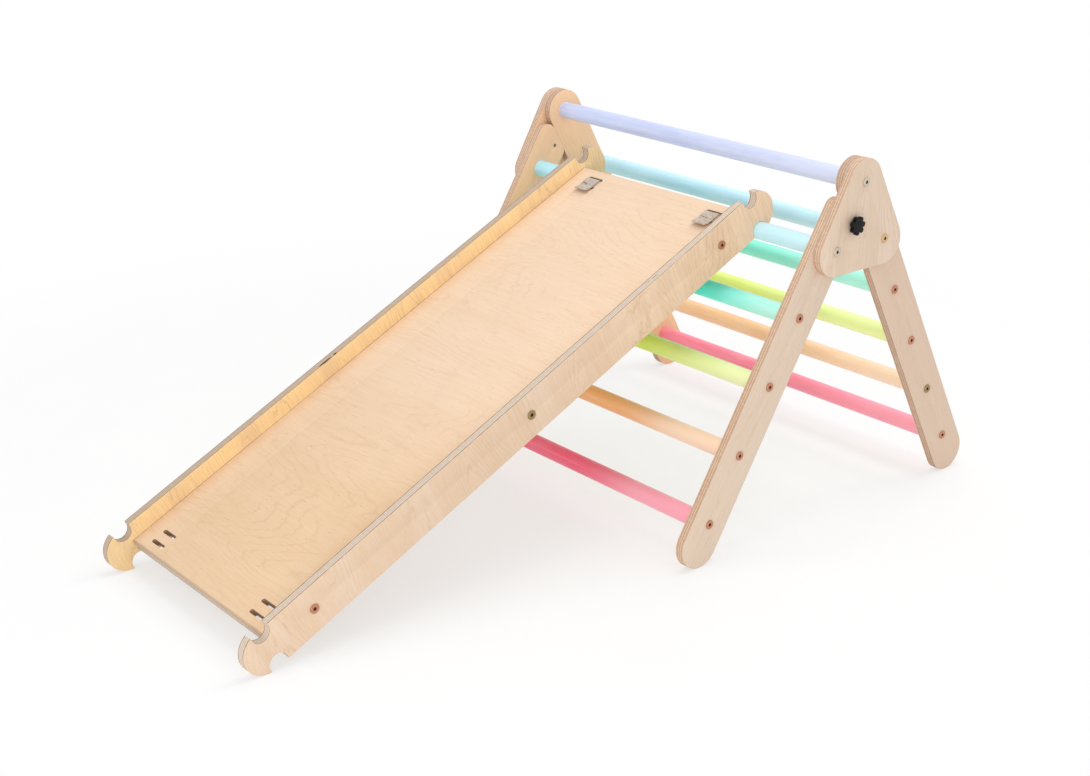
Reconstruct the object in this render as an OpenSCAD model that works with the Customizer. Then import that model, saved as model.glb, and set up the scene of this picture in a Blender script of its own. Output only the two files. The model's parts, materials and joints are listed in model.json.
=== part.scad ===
// Folding climbing triangle with a hook-on ramp.
// Two rung ladders meet under the top rung and fold together about the front
// ladder's own top rung. A ramp hangs on that rung by its hooked rail heads.
// Millimetres. +X runs along the rungs, -Y is the ramp side, +Z is up.
// The origin is on the floor, at the middle of the footprint.

/* [Rungs] */
// Diameter of every rung
rung_d = 30; // [26:1:34]
// Length of a back rung between the legs' inner faces
rung_len = 700; // [500:5:1000]
// Spacing of the back ladder's rungs along the leg
back_pitch = 115; // [105:1:130]
// Spacing of the front ladder's rungs along the leg
front_pitch = 118; // [105:1:130]

/* [Legs] */
// Thickness of the plywood legs
leg_t = 15; // [12:0.5:21]
// Width of a leg, and the diameter of its round ends
leg_w = 75; // [66:1:85]
// Lean of the back ladder from the vertical, degrees
back_lean = 28.6; // [26:0.1:32]
// Lean of the front ladder from the vertical, degrees
front_lean = 31.4; // [28:0.1:34]
// Distance from the lowest rung to the centre of the round foot
foot_drop = 37.5; // [30:0.5:60]
// Radius of the front leg's upper outer corner
top_round = 20; // [12:1:28]
// How far the front leg's upper inner corner is cut back
corner_cut = 4; // [2:0.5:6]

/* [Gusset plates] */
// Thickness of a gusset plate
gusset_t = 15; // [12:0.5:21]
// Distance of the fold pivot from the back leg's middle line
pivot_out = 101.5; // [98:0.5:115]
// How far the gusset reaches past the legs' edges
gusset_lip = 0.5; // [0:0.5:6]
// How far the gusset's lower corners sit below the pivot
gusset_drop = 3; // [0:0.5:10]

/* [Locking knobs] */
// Diameter over the knob's lobes
knob_d = 31; // [28:1:34]
// Thickness of the knob's lobed head
knob_h = 6; // [4:0.5:12]
// Diameter of one lobe
lobe_d = 9; // [7:0.5:10]
// Diameter of the knob's collar
collar_d = 15; // [12:0.5:18]
// Height of the knob's collar
collar_h = 5; // [2:0.5:8]
// Diameter of the knob's threaded stud
stud_d = 6; // [5:0.5:8]
// Length of the stud inside the knob
stud_hold = 8; // [5:0.5:10]
// Knob position above the pivot, along the front leg
knob_up = 51; // [48:0.5:53]
// Knob position behind the front leg's middle line
knob_back = 10; // [6:0.5:13]
// Outer diameter of the threaded insert in the front leg
insert_d = 10; // [9:0.5:12]
// Length of the threaded insert, set in from the leg's outer face
insert_len = 11; // [8:0.5:13]

/* [Connector bolts] */
// Diameter of a bolt's shank
bolt_d = 6; // [5:0.5:8]
// Diameter of a bolt's flat head
head_d = 15; // [12:0.5:18]
// Thickness of a bolt's flat head
head_h = 2; // [1.5:0.25:4]
// Width across the corners of the hexagon socket
socket_d = 5.5; // [4:0.25:7]
// Depth of the hexagon socket
socket_h = 1.2; // [0.8:0.1:1.4]
// Length of a bolt inside a rung or inside the ramp's board
bolt_hold = 40; // [25:1:60]

/* [Ramp] */
// Distance between the hooks at the ramp's two ends
hook_span = 1048; // [900:2:1300]
// Width over the rails' outer faces
ramp_w = 430; // [300:2:480]
// Thickness of a rail
rail_t = 15; // [12:0.5:20]
// Height of a rail, and the diameter of its round heads
rail_h = 72; // [70:1:84]
// Distance of a hook notch's centre from the rail's edge
notch_in = 5; // [3:0.5:8]
// Distance from a hook notch to the centre of the round head
head_out = 7; // [5:0.5:12]
// Thickness of the ramp's board
board_t = 15; // [12:0.5:18]
// Distance from a hook notch's centre to the end of the board
board_end = 5.5; // [3:0.5:12]
// Distance from a hook notch's centre to the first rail bolt
rail_bolt_in = 83.5; // [75:0.5:150]

/* [Straps] */
// Length of a strap slot, across the ramp
slot_l = 36; // [30:1:50]
// Width of a strap slot, along the ramp
slot_w = 7; // [6:0.5:9]
// Distance from a hook notch's centre to the first slot
slot_in = 26; // [25:0.5:30]
// Distance between the two slots of a pair
slot_pitch = 22.5; // [20:0.5:30]
// Distance of the slots' middle from the rail's inner face
slot_side = 52; // [50:1:75]
// Width of a strap
strap_w = 31; // [24:1:35]
// Thickness of a strap
strap_t = 1.8; // [1.2:0.1:2]
// Length of the strap's loose end past the second slot
strap_tail = 16; // [8:1:30]

/* [Fits] */
// Gap at a face that rests on or slides past another piece
rest_gap = 0.3; // [0.2:0.05:0.5]
// Running clearance on the radius of a pivot
run_gap = 0.08; // [0.03:0.01:0.1]
// Clearance on the radius of a fixed bolt, stud or insert
hole_gap = 0.1; // [0.05:0.05:0.3]
// Clearance on the radius of a hook notch over its rung
notch_gap = 0.4; // [0.3:0.05:1]

/* [Hidden] */
$fn = 96;

wood = [0.87, 0.77, 0.65];
brass = [0.76, 0.62, 0.36];
bronze = [0.50, 0.36, 0.26];
steel = [0.72, 0.73, 0.74];
black = [0.08, 0.08, 0.10];
grey = [0.66, 0.64, 0.61];
lilac = [0.82, 0.85, 0.97];
cyan = [0.80, 0.94, 0.99];
teal = [0.55, 0.94, 0.80];
lime = [0.87, 0.96, 0.52];
orange = [1.00, 0.82, 0.66];
pink = [1.00, 0.62, 0.69];

rung_r = rung_d / 2;
leg_r = leg_w / 2;
leg_in = rung_len / 2;
leg_out = leg_in + leg_t;
front_out = leg_out - rest_gap;
front_in = front_out - leg_t;
plate_out = leg_out + gusset_t;

// Directions in the side view: down each leg, and square to it, outwards
back_down = [sin(back_lean), -cos(back_lean)];
back_side = [cos(back_lean), sin(back_lean)];
front_down = [-sin(front_lean), -cos(front_lean)];
front_side = [-cos(front_lean), sin(front_lean)];

back_run = 5 * back_pitch + foot_drop;
front_run = 4 * front_pitch + foot_drop;
top_z = leg_r + back_run * cos(back_lean);
pivot_z = leg_r + front_run * cos(front_lean);
// Place of the pivot below the top rung, along the back leg
pivot_s = (top_z - pivot_z - pivot_out * sin(back_lean)) / cos(back_lean);

rail_r = rail_h / 2;
rail_mid = rail_r - notch_in;
head_u = hook_span + head_out;
ramp_tilt = asin((pivot_z - rail_r) / norm([head_u, rail_mid])) + atan(rail_mid / head_u);
ramp_down = [-cos(ramp_tilt), -sin(ramp_tilt)];
ramp_up = [-sin(ramp_tilt), cos(ramp_tilt)];
notch_r = rung_r + notch_gap;
rail_out = ramp_w / 2;
rail_in = rail_out - rail_t;
slot_x = rail_in - slot_side;

// Side-view place of the top rung, so that the footprint is centred on the origin
pivot_dy = (pivot_s * back_down - pivot_out * back_side)[0];
foot_dy = pivot_dy + (head_u * ramp_down + rail_mid * ramp_up)[0] - rail_r;
heel_dy = (back_run * back_down)[0] + leg_r;
top = [-(foot_dy + heel_dy) / 2, top_z];
pivot = top + pivot_s * back_down - pivot_out * back_side;

back_foot = top + back_run * back_down;
front_foot = pivot + front_run * front_down;
knob_at = pivot - knob_up * front_down - knob_back * front_side;
// Distance from the pivot to the front leg's slanted top
seam = pivot_out - leg_r - rest_gap;

function back_rung(i) = top + i * back_pitch * back_down;
function front_rung(i) = pivot + i * front_pitch * front_down;
function ramp_at(u, v) = pivot + u * ramp_down + v * ramp_up;

// Side-view outline raised into a sheet from x0, t thick
module sheet(x0, t) {
  translate([x0, 0, 0]) rotate([90, 0, 90]) linear_extrude(t) children();
}

// The same sheet on the right (side = 1) or, mirrored, on the left (side = -1)
module sided(side) {
  if (side > 0) children(); else mirror([1, 0, 0]) children();
}

module disc(at, r) {
  translate(at) circle(r);
}

// Local frame at p, its first axis towards d
module along(p, d) {
  translate(p) rotate(atan2(d[1], d[0])) children();
}

// Straight bar with round ends
module bar(a, b, r) {
  along(a, b - a) {
    circle(r);
    translate([norm(b - a), 0]) circle(r);
    translate([0, -r]) square([norm(b - a), 2 * r]);
  }
}

// Rod along X between x0 and x1
module rod(at, r, x0, x1) {
  translate([x0, at[0], at[1]]) rotate([0, 90, 0]) cylinder(r = r, h = x1 - x0);
}

// Connector bolt: flat head on the face at x, shank running inwards
module bolt(at, x, len) {
  difference() {
    union() {
      rod(at, head_d / 2, x, x + head_h);
      rod(at, bolt_d / 2, x - len, x + 0.001);
    }
    translate([x + head_h - socket_h, at[0], at[1]]) rotate([0, 90, 0])
      cylinder(d = socket_d, h = socket_h + 1, $fn = 6);
  }
}

module back_leg(side) {
  color(wood) sided(side) sheet(leg_in, leg_t) difference() {
    bar(top, back_foot, leg_r);
    for (i = [0:5]) disc(back_rung(i), bolt_d / 2 + hole_gap);
  }
}

// Front leg, in a frame that runs down it from the pivot: the slanted top lies
// along the back leg's edge, its outer corner is round, and its inner corner is
// cut back, so that it clears the back leg while the ladder folds
module front_leg_outline() {
  fold = back_lean + front_lean;
  along_seam = [cos(fold), sin(fold)];
  to_seam = [-sin(fold), cos(fold)];
  foot = seam * to_seam;
  inner = foot + (leg_r - foot[1]) / sin(fold) * along_seam;
  outer = foot - (leg_r + foot[1]) / sin(fold) * along_seam;
  // Middle of the round outer corner
  c = [-(seam - top_round + (leg_r - top_round) * cos(fold)) / sin(fold),
    top_round - leg_r];
  along(pivot, front_down) {
    translate([front_run, 0]) circle(leg_r);
    translate([0, -leg_r]) square([front_run, leg_w]);
    difference() {
      polygon([[1, -leg_r], [1, leg_r], inner + [corner_cut, 0],
        inner - corner_cut * along_seam, outer]);
      difference() {
        polygon([c, c + 3 * top_round * [0, -1],
          c + 3 * top_round * (to_seam - [0, 1]), c + 3 * top_round * to_seam]);
        translate(c) circle(top_round + 0.02);
      }
    }
  }
}

module front_leg(side) {
  color(wood) sided(side) difference() {
    sheet(front_in, leg_t) difference() {
      front_leg_outline();
      for (i = [0:4]) disc(front_rung(i), bolt_d / 2 + hole_gap);
      disc(knob_at, stud_d / 2 + hole_gap);
    }
    rod(knob_at, insert_d / 2 + hole_gap, front_out - insert_len, front_out + 1);
  }
}

// Gusset plate: three round corners joined by straight edges
module gusset(side) {
  r = leg_r + gusset_lip;
  low = pivot_z - gusset_drop;
  a = top;
  b = [pivot[0], low];
  c = [top[0] + (top_z - low) * tan(back_lean), low];
  color(wood) sided(side) sheet(leg_out, gusset_t) difference() {
    union() {
      bar(a, b, r);
      bar(b, c, r);
      bar(c, a, r);
      polygon([a, b, c]);
    }
    disc(back_rung(0), bolt_d / 2 + hole_gap);
    disc(back_rung(1), bolt_d / 2 + hole_gap);
    disc(pivot, bolt_d / 2 + run_gap);
    disc(knob_at, stud_d / 2 + hole_gap);
  }
}

// Rung of half length h with a bore for a bolt in each end
module rung(at, h, tint) {
  color(tint) difference() {
    rod(at, rung_r, -h, h);
    for (s = [-1, 1]) rod(at, bolt_d / 2 + hole_gap, s > 0 ? h - bolt_hold - 1 : -h - 1,
      s > 0 ? h + 1 : -h + bolt_hold + 1);
  }
}

module back_bolts(side) {
  color(bronze) sided(side)
    for (i = [2:5]) bolt(back_rung(i), leg_out, leg_t + bolt_hold);
}

module gusset_bolts(side) {
  color(brass) sided(side)
    for (i = [0:1]) bolt(back_rung(i), plate_out, gusset_t + leg_t + bolt_hold);
}

module front_bolts(side) {
  color(bronze) sided(side)
    for (i = [1:4]) bolt(front_rung(i), front_out, leg_t + bolt_hold);
}

module pivot_bolt(side) {
  color(brass) sided(side)
    bolt(pivot, plate_out + rest_gap, plate_out + rest_gap - front_in + bolt_hold);
}

module insert(side) {
  color(steel) sided(side) difference() {
    rod(knob_at, insert_d / 2, front_out - insert_len, front_out);
    rod(knob_at, stud_d / 2 + hole_gap, front_out - insert_len - 1, front_out + 1);
  }
}

// Knob: a collar on the gusset, then a ring of round lobes
module knob(side) {
  lobes = 7;
  base = plate_out + rest_gap;
  ring = (knob_d - lobe_d) / 2;
  color(black) sided(side) difference() {
    union() {
      rod(knob_at, collar_d / 2, base, base + collar_h);
      rod(knob_at, ring, base + collar_h, base + collar_h + knob_h);
      for (i = [0:lobes - 1]) rod(knob_at + ring * [cos(6 + i * 360 / lobes),
        sin(6 + i * 360 / lobes)], lobe_d / 2, base + collar_h, base + collar_h + knob_h);
    }
    rod(knob_at, stud_d / 2 + run_gap, plate_out, base + stud_hold + rest_gap);
  }
}

// Stud: stops level with the gusset's inner face
module stud(side) {
  color(steel) sided(side)
    rod(knob_at, stud_d / 2, leg_out, plate_out + rest_gap + stud_hold);
}

// Rail, in the ramp's frame: two U-shaped hook notches in each round head
module rail_outline() {
  difference() {
    bar([-head_out, rail_mid], [head_u, rail_mid], rail_r);
    for (u = [0, hook_span]) {
      for (v = [0, 2 * rail_mid]) disc([u, v], notch_r);
      translate([u - notch_r, -rail_r]) square([2 * notch_r, rail_r]);
      translate([u - notch_r, 2 * rail_mid]) square([2 * notch_r, rail_r]);
    }
    for (u = [rail_bolt_in, hook_span / 2, hook_span - rail_bolt_in])
      disc([u, rail_mid], bolt_d / 2 + hole_gap);
  }
}

// The ramp's frame in the side view: down the slope from the hooked rung, and up
module on_ramp() {
  translate(pivot) mirror([1, 0]) rotate(-ramp_tilt) children();
}

module ramp_rail(side) {
  color(wood) sided(side) sheet(rail_in, rail_t) on_ramp() rail_outline();
}

module ramp_board() {
  color(wood) difference() {
    sheet(-rail_in, 2 * rail_in) on_ramp()
      translate([board_end, rail_mid - board_t / 2])
        square([hook_span - 2 * board_end, board_t]);
    // Strap slots with round ends, cut square to the board
    translate([0, pivot[0], pivot[1]]) rotate([ramp_tilt, 0, 0]) rotate([0, 0, 180])
      translate([0, 0, rail_mid - board_t]) linear_extrude(2 * board_t)
        for (s = [-1, 1], u = [slot_in, hook_span - slot_in], k = [0, 1]) {
          w = u + (u > hook_span / 2 ? -k : k) * slot_pitch;
          half = (slot_l - slot_w) / 2;
          bar([s * slot_x - half, w], [s * slot_x + half, w], slot_w / 2);
        }
    for (s = [-1, 1], u = [rail_bolt_in, hook_span / 2, hook_span - rail_bolt_in])
      rod(ramp_at(u, rail_mid), bolt_d / 2 + hole_gap,
        s > 0 ? rail_in - bolt_hold - 1 : -rail_in - 1,
        s > 0 ? rail_in + 1 : -rail_in + bolt_hold + 1);
  }
}

module ramp_bolts(side) {
  color(bronze) sided(side)
    for (u = [rail_bolt_in, hook_span / 2, hook_span - rail_bolt_in])
      bolt(ramp_at(u, rail_mid), rail_out, rail_t + bolt_hold);
}

// Strap: round the rung, up through both slots, and closed on top of the board.
// Its flat runs are a hair thinner than the part that bends round the rung.
module strap_outline() {
  half = strap_t / 2;
  web = half - 0.05;
  lift = half - 0.1;
  ring = notch_r + half;
  far = 3 * ring;
  wide = 50;
  low = rail_mid - board_t / 2 - half;
  deck = rail_mid + board_t / 2 + half;
  a = [slot_in, low];
  b = [slot_in + slot_pitch, low];
  turn_a = atan2(a[1], a[0]) + acos(ring / norm(a));
  turn_b = atan2(b[1], b[0]) - acos(ring / norm(b));
  difference() {
    circle(ring + half);
    circle(ring - half);
    polygon([[0, 0], far * [cos(turn_a - 5), sin(turn_a - 5)], far * [cos(wide), sin(wide)],
      far * [cos(wide), -sin(wide)], far * [cos(turn_b + 5), sin(turn_b + 5)]]);
  }
  bar(ring * [cos(turn_a), sin(turn_a)], a, web);
  bar(ring * [cos(turn_b), sin(turn_b)], b, web);
  bar(a, [slot_in, deck + strap_t], lift);
  bar(b, [slot_in + slot_pitch, deck], lift);
  bar([slot_in + 4 * half, deck], [slot_in + slot_pitch, deck], web);
  bar([slot_in, deck + strap_t],
    [slot_in + slot_pitch + strap_tail, deck + strap_t], web);
}

module strap(side) {
  color(grey) sided(side) sheet(slot_x - strap_w / 2, strap_w) on_ramp() strap_outline();
}

back_leg(1);  // back_leg_right
back_leg(-1);  // back_leg_left
gusset(1);  // gusset_right
gusset(-1);  // gusset_left
rung(back_rung(0), leg_in, lilac);  // rung_lilac
rung(back_rung(1), leg_in, cyan);  // rung_back_cyan
rung(back_rung(2), leg_in, teal);  // rung_back_teal
rung(back_rung(3), leg_in, lime);  // rung_back_lime
rung(back_rung(4), leg_in, orange);  // rung_back_orange
rung(back_rung(5), leg_in, pink);  // rung_back_pink
back_bolts(1);  // back_bolts_right
back_bolts(-1);  // back_bolts_left
gusset_bolts(1);  // gusset_bolts_right
gusset_bolts(-1);  // gusset_bolts_left
front_leg(1);  // front_leg_right
front_leg(-1);  // front_leg_left
rung(front_rung(0), front_in, cyan);  // rung_front_cyan
rung(front_rung(1), front_in, teal);  // rung_front_teal
rung(front_rung(2), front_in, lime);  // rung_front_lime
rung(front_rung(3), front_in, orange);  // rung_front_orange
rung(front_rung(4), front_in, pink);  // rung_front_pink
front_bolts(1);  // front_bolts_right
front_bolts(-1);  // front_bolts_left
pivot_bolt(1);  // pivot_bolt_right
pivot_bolt(-1);  // pivot_bolt_left
insert(1);  // insert_right
insert(-1);  // insert_left
knob(1);  // knob_right
knob(-1);  // knob_left
stud(1);  // stud_right
stud(-1);  // stud_left
ramp_rail(1);  // ramp_rail_right
ramp_rail(-1);  // ramp_rail_left
ramp_board();
ramp_bolts(1);  // ramp_bolts_right
ramp_bolts(-1);  // ramp_bolts_left
strap(1);  // strap_right
strap(-1);  // strap_left
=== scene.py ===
"""Folding climbing triangle with a hook-on ramp: its finishes, soft parts, light and camera.

Two plywood ladders with coloured rungs meet under two gusset plates, and a plywood ramp with hooked
rail ends hangs on the front ladder's top rung. All lengths are in metres, in the frame of the part:
X runs along the rungs, Y from the ramp towards the back ladder, Z up.
"""

from __future__ import annotations

import json
import logging
import math
import random
from dataclasses import dataclass, field, replace
from enum import Enum
from typing import Any, Callable, Iterable, Sequence

import bmesh
import bpy
from mathutils import Matrix, Vector

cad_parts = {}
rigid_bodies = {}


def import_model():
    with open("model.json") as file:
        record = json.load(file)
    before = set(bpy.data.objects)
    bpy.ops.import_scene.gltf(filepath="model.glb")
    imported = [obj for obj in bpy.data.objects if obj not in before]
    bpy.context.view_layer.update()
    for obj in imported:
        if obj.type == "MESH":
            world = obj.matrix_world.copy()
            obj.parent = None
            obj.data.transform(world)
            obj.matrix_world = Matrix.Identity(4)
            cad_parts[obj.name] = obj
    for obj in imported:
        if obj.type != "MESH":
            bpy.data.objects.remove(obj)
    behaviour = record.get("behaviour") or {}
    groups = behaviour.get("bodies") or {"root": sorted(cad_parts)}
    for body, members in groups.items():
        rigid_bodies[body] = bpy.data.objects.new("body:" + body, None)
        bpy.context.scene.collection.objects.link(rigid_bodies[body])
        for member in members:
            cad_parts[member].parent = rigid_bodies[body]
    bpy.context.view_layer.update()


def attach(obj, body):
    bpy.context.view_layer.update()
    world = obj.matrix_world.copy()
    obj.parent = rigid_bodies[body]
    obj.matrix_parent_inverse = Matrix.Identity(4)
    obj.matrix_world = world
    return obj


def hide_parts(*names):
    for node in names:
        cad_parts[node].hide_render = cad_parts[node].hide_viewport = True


LOG = logging.getLogger("climbing_triangle")

Colour = tuple[float, float, float, float]
Socket = Any
Outputs = Any
Layout = Callable[["Recipe", Outputs], Sequence[Socket]]


# ---------------------------------------------------------------- places


class Side(Enum):
    """Which side of the frame a piece is on; the value is the sign of its X."""

    RIGHT = 1
    LEFT = -1

    @property
    def word(self) -> str:
        """The ending that the side's pieces carry in their names."""
        return self.name.lower()


@dataclass(frozen=True)
class SideView:
    """Where the parts stand in the side view. Points are (y, z), leans and tilts in degrees.

    Attributes:
        top: The lilac rung's axis.
        pivot: The front ladder's top rung and pivot axis, on which the ramp hangs too.
        back_lean: Lean of the back legs.
        front_lean: Lean of the front legs.
        back_pitch: From rung to rung of the back ladder.
        front_pitch: From rung to rung of the front ladder.
        ramp_tilt: Tilt of the ramp.
    """

    top: tuple[float, float] = (0.362916, 0.575265)
    pivot: tuple[float, float] = (0.303403, 0.472384)
    back_lean: float = 28.6
    front_lean: float = 31.4
    back_pitch: float = 0.115
    front_pitch: float = 0.118
    ramp_tilt: float = 26.1052

    def back_down(self) -> Vector:
        """Direction down the back legs."""
        lean = math.radians(self.back_lean)
        return Vector((0.0, math.sin(lean), -math.cos(lean)))

    def front_down(self) -> Vector:
        """Direction down the front legs."""
        lean = math.radians(self.front_lean)
        return Vector((0.0, -math.sin(lean), -math.cos(lean)))

    def ramp_down(self) -> Vector:
        """Direction down the ramp."""
        tilt = math.radians(self.ramp_tilt)
        return Vector((0.0, -math.cos(tilt), -math.sin(tilt)))

    def ramp_up(self) -> Vector:
        """Direction square to the ramp's board, upwards."""
        tilt = math.radians(self.ramp_tilt)
        return Vector((0.0, -math.sin(tilt), math.cos(tilt)))

    def on_ramp(self, x: float, u: float, v: float) -> Vector:
        """A point of the ramp.

        Args:
            x: Place across the ramp.
            u: Distance down the ramp from the rung it hangs on.
            v: Height above that rung, square to the board.

        Returns:
            The point in the part's frame.
        """
        start = Vector((x, *self.pivot))
        return start + u * self.ramp_down() + v * self.ramp_up()


VIEW = SideView()


def tint(red: float, green: float, blue: float) -> Colour:
    """A colour given as it is seen on a screen.

    Args:
        red: Red, 0 to 255.
        green: Green, 0 to 255.
        blue: Blue, 0 to 255.

    Returns:
        The colour in linear light, with full opacity.
    """

    def linear(value: float) -> float:
        """One channel in linear light."""
        share = value / 255.0
        return share / 12.92 if share <= 0.04045 else ((share + 0.055) / 1.055) ** 2.4

    return (linear(red), linear(green), linear(blue), 1.0)


# ---------------------------------------------------------------- node recipes


class Recipe:
    """Lays out the nodes of a material, a shader group or a geometry tree in short lines."""

    def __init__(self, tree: bpy.types.NodeTree) -> None:
        """Starts on an empty tree.

        Args:
            tree: The tree that the nodes go into.
        """
        self.tree = tree
        tree.nodes.clear()

    def add(self, kind: str, *inputs: Any, named: dict[Any, Any] | None = None,
            out: Any = 0, **settings: Any) -> Socket:
        """Adds a node and fills its inputs.

        Args:
            kind: The node's type.
            *inputs: Values or sockets for the first inputs, in order; None leaves one as it is.
            named: Values or sockets for inputs by name or index.
            out: Name or index of the output that is wanted.
            **settings: Properties of the node itself.

        Returns:
            The output socket, or the node itself where out is None.
        """
        node = self.tree.nodes.new(kind)
        for key, value in settings.items():
            setattr(node, key, value)
        self.fill(node, dict(enumerate(inputs)) | (named or {}))
        return node if out is None else node.outputs[out]

    def fill(self, node: bpy.types.Node, inputs: dict[Any, Any]) -> None:
        """Sets or links the inputs of a node.

        Args:
            node: The node.
            inputs: Values or sockets by the input's name or index; None leaves one as it is.
        """
        for key, value in inputs.items():
            if isinstance(value, bpy.types.NodeSocket):
                self.tree.links.new(value, node.inputs[key])
            elif value is not None:
                node.inputs[key].default_value = value

    def feed(self, shader: bpy.types.Node, **sockets: Any) -> None:
        """Sets or links a shader's sockets; an underscore stands for a space."""
        self.fill(shader, {key.replace("_", " "): value for key, value in sockets.items()})

    def group(self, group: NodeGroup, **inputs: Any) -> Outputs:
        """Places a group in the material and gives its outputs by name."""
        return self.add("ShaderNodeGroup", named=inputs, out=None, node_tree=group.tree()).outputs

    def spot(self) -> Socket:
        """The place on the piece, in the part's frame."""
        return self.add("ShaderNodeTexCoord", out="Object")

    def split(self, place: Socket) -> Outputs:
        """A place's X, Y and Z."""
        return self.add("ShaderNodeSeparateXYZ", place, out=None).outputs

    def math(self, operation: str, *inputs: Any) -> Socket:
        """A Math node's result."""
        return self.add("ShaderNodeMath", *inputs, operation=operation)

    def far(self, place: Socket) -> Socket:
        """How far a place is from the origin."""
        return self.add("ShaderNodeVectorMath", place, operation="LENGTH", out=1)

    def vector(self, operation: str, *inputs: Any) -> Socket:
        """A Vector Math node's vector."""
        return self.add("ShaderNodeVectorMath", *inputs, operation=operation)

    def ramp(self, value: Socket, low: float, high: float, to_low: float = 0.0,
             to_high: float = 1.0, smooth: bool = True) -> Socket:
        """A value carried from one range to another and held inside it.

        Args:
            value: The value.
            low: Where the first range begins.
            high: Where it ends.
            to_low: What its beginning becomes.
            to_high: What its end becomes.
            smooth: Whether it eases in and out.

        Returns:
            The value in the second range.
        """
        kind = "SMOOTHSTEP" if smooth else "LINEAR"
        return self.add("ShaderNodeMapRange", value, low, high, to_low, to_high,
                        interpolation_type=kind)

    def mix(self, share: Any, first: Any, second: Any, blend: str = "MIX") -> Socket:
        """Two colours mixed by a share."""
        return self.add("ShaderNodeMix", named={0: share, 6: first, 7: second}, out=2,
                        data_type="RGBA", blend_type=blend)

    def noise(self, place: Socket, scale: float, detail: float = 2.0, rough: float = 0.5,
              warp: float = 0.0) -> Socket:
        """Smooth random values from 0 to 1.

        Args:
            place: Where they are read.
            scale: How close they lie.
            detail: How many finer layers they have.
            rough: How strong the finer layers are.
            warp: How far they are bent.

        Returns:
            The value.
        """
        return self.add("ShaderNodeTexNoise", named={
            "Vector": place, "Scale": scale, "Detail": detail, "Roughness": rough,
            "Distortion": warp})

    def stretch(self, place: Socket, *scale: float) -> Socket:
        """A place with each axis scaled."""
        return self.vector("MULTIPLY", place, tuple(scale))

    def bump(self, height: Socket, strength: float, distance: float) -> Socket:
        """A normal bumped by a height."""
        return self.add("ShaderNodeBump", named={
            "Strength": strength, "Distance": distance, "Height": height})

    def finished(self, geometry: Socket, finish: Socket) -> Sequence[Socket]:
        """The end of a geometry tree: real meshes under one material."""
        real = self.add("GeometryNodeRealizeInstances", geometry)
        return [self.add("GeometryNodeSetMaterial", named={"Geometry": real, "Material": finish})]


@dataclass
class NodeGroup:
    """A node group with named inputs and outputs, built on its first use.

    It decorates the function that lays out its nodes. That function takes the group's recipe and
    inputs, and gives the group's outputs in order.

    Attributes:
        name: The group's name.
        kind: Its type of tree.
        inputs: Name, socket type and first value of each input.
        outputs: Name and socket type of each output.
        lay: The function that lays out its nodes.
    """

    name: str
    kind: str
    inputs: Sequence[tuple[str, str, Any]]
    outputs: Sequence[tuple[str, str]]
    lay: Layout | None = None

    def __call__(self, lay: Layout) -> NodeGroup:
        """Takes the function that lays out the nodes."""
        self.lay = lay
        return self

    def tree(self) -> bpy.types.NodeTree:
        """The group's tree.

        Returns:
            The tree, laid out if it is wanted for the first time.
        """
        found = bpy.data.node_groups.get(self.name)
        if found is not None:
            return found
        made = bpy.data.node_groups.new(self.name, self.kind)
        if self.kind == "GeometryNodeTree":
            made.is_modifier = True
        for label, kind, value in self.inputs:
            socket = made.interface.new_socket(label, in_out="INPUT", socket_type=kind)
            if value is not None:
                socket.default_value = value
        for label, kind in self.outputs:
            made.interface.new_socket(label, in_out="OUTPUT", socket_type=kind)
        recipe = Recipe(made)
        given = recipe.add("NodeGroupInput", out=None).outputs
        recipe.add("NodeGroupOutput", *self.lay(recipe, given), out=None)
        return made


def shader_group(name: str, *outputs: str, **numbers: float) -> NodeGroup:
    """A shader group whose first input is a Place.

    Args:
        name: The group's name.
        *outputs: Names of its outputs, which are single values.
        **numbers: Names and first values of its other inputs.

    Returns:
        The group, ready to decorate its layout.
    """
    wanted = [(label, "NodeSocketFloat", value) for label, value in numbers.items()]
    return NodeGroup(name, "ShaderNodeTree", [("Place", "NodeSocketVector", None), *wanted],
                     [(label, "NodeSocketFloat") for label in outputs])


def geometry_tree(name: str, **kinds: str) -> NodeGroup:
    """A geometry tree that takes and gives a geometry.

    Args:
        name: The tree's name.
        **kinds: Names and kinds of its other inputs.

    Returns:
        The tree, ready to decorate its layout.
    """
    wanted = [(label, "NodeSocket" + kind, None) for label, kind in kinds.items()]
    return NodeGroup(name, "GeometryNodeTree", [("Geometry", "NodeSocketGeometry", None), *wanted],
                     [("Geometry", "NodeSocketGeometry")])


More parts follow.
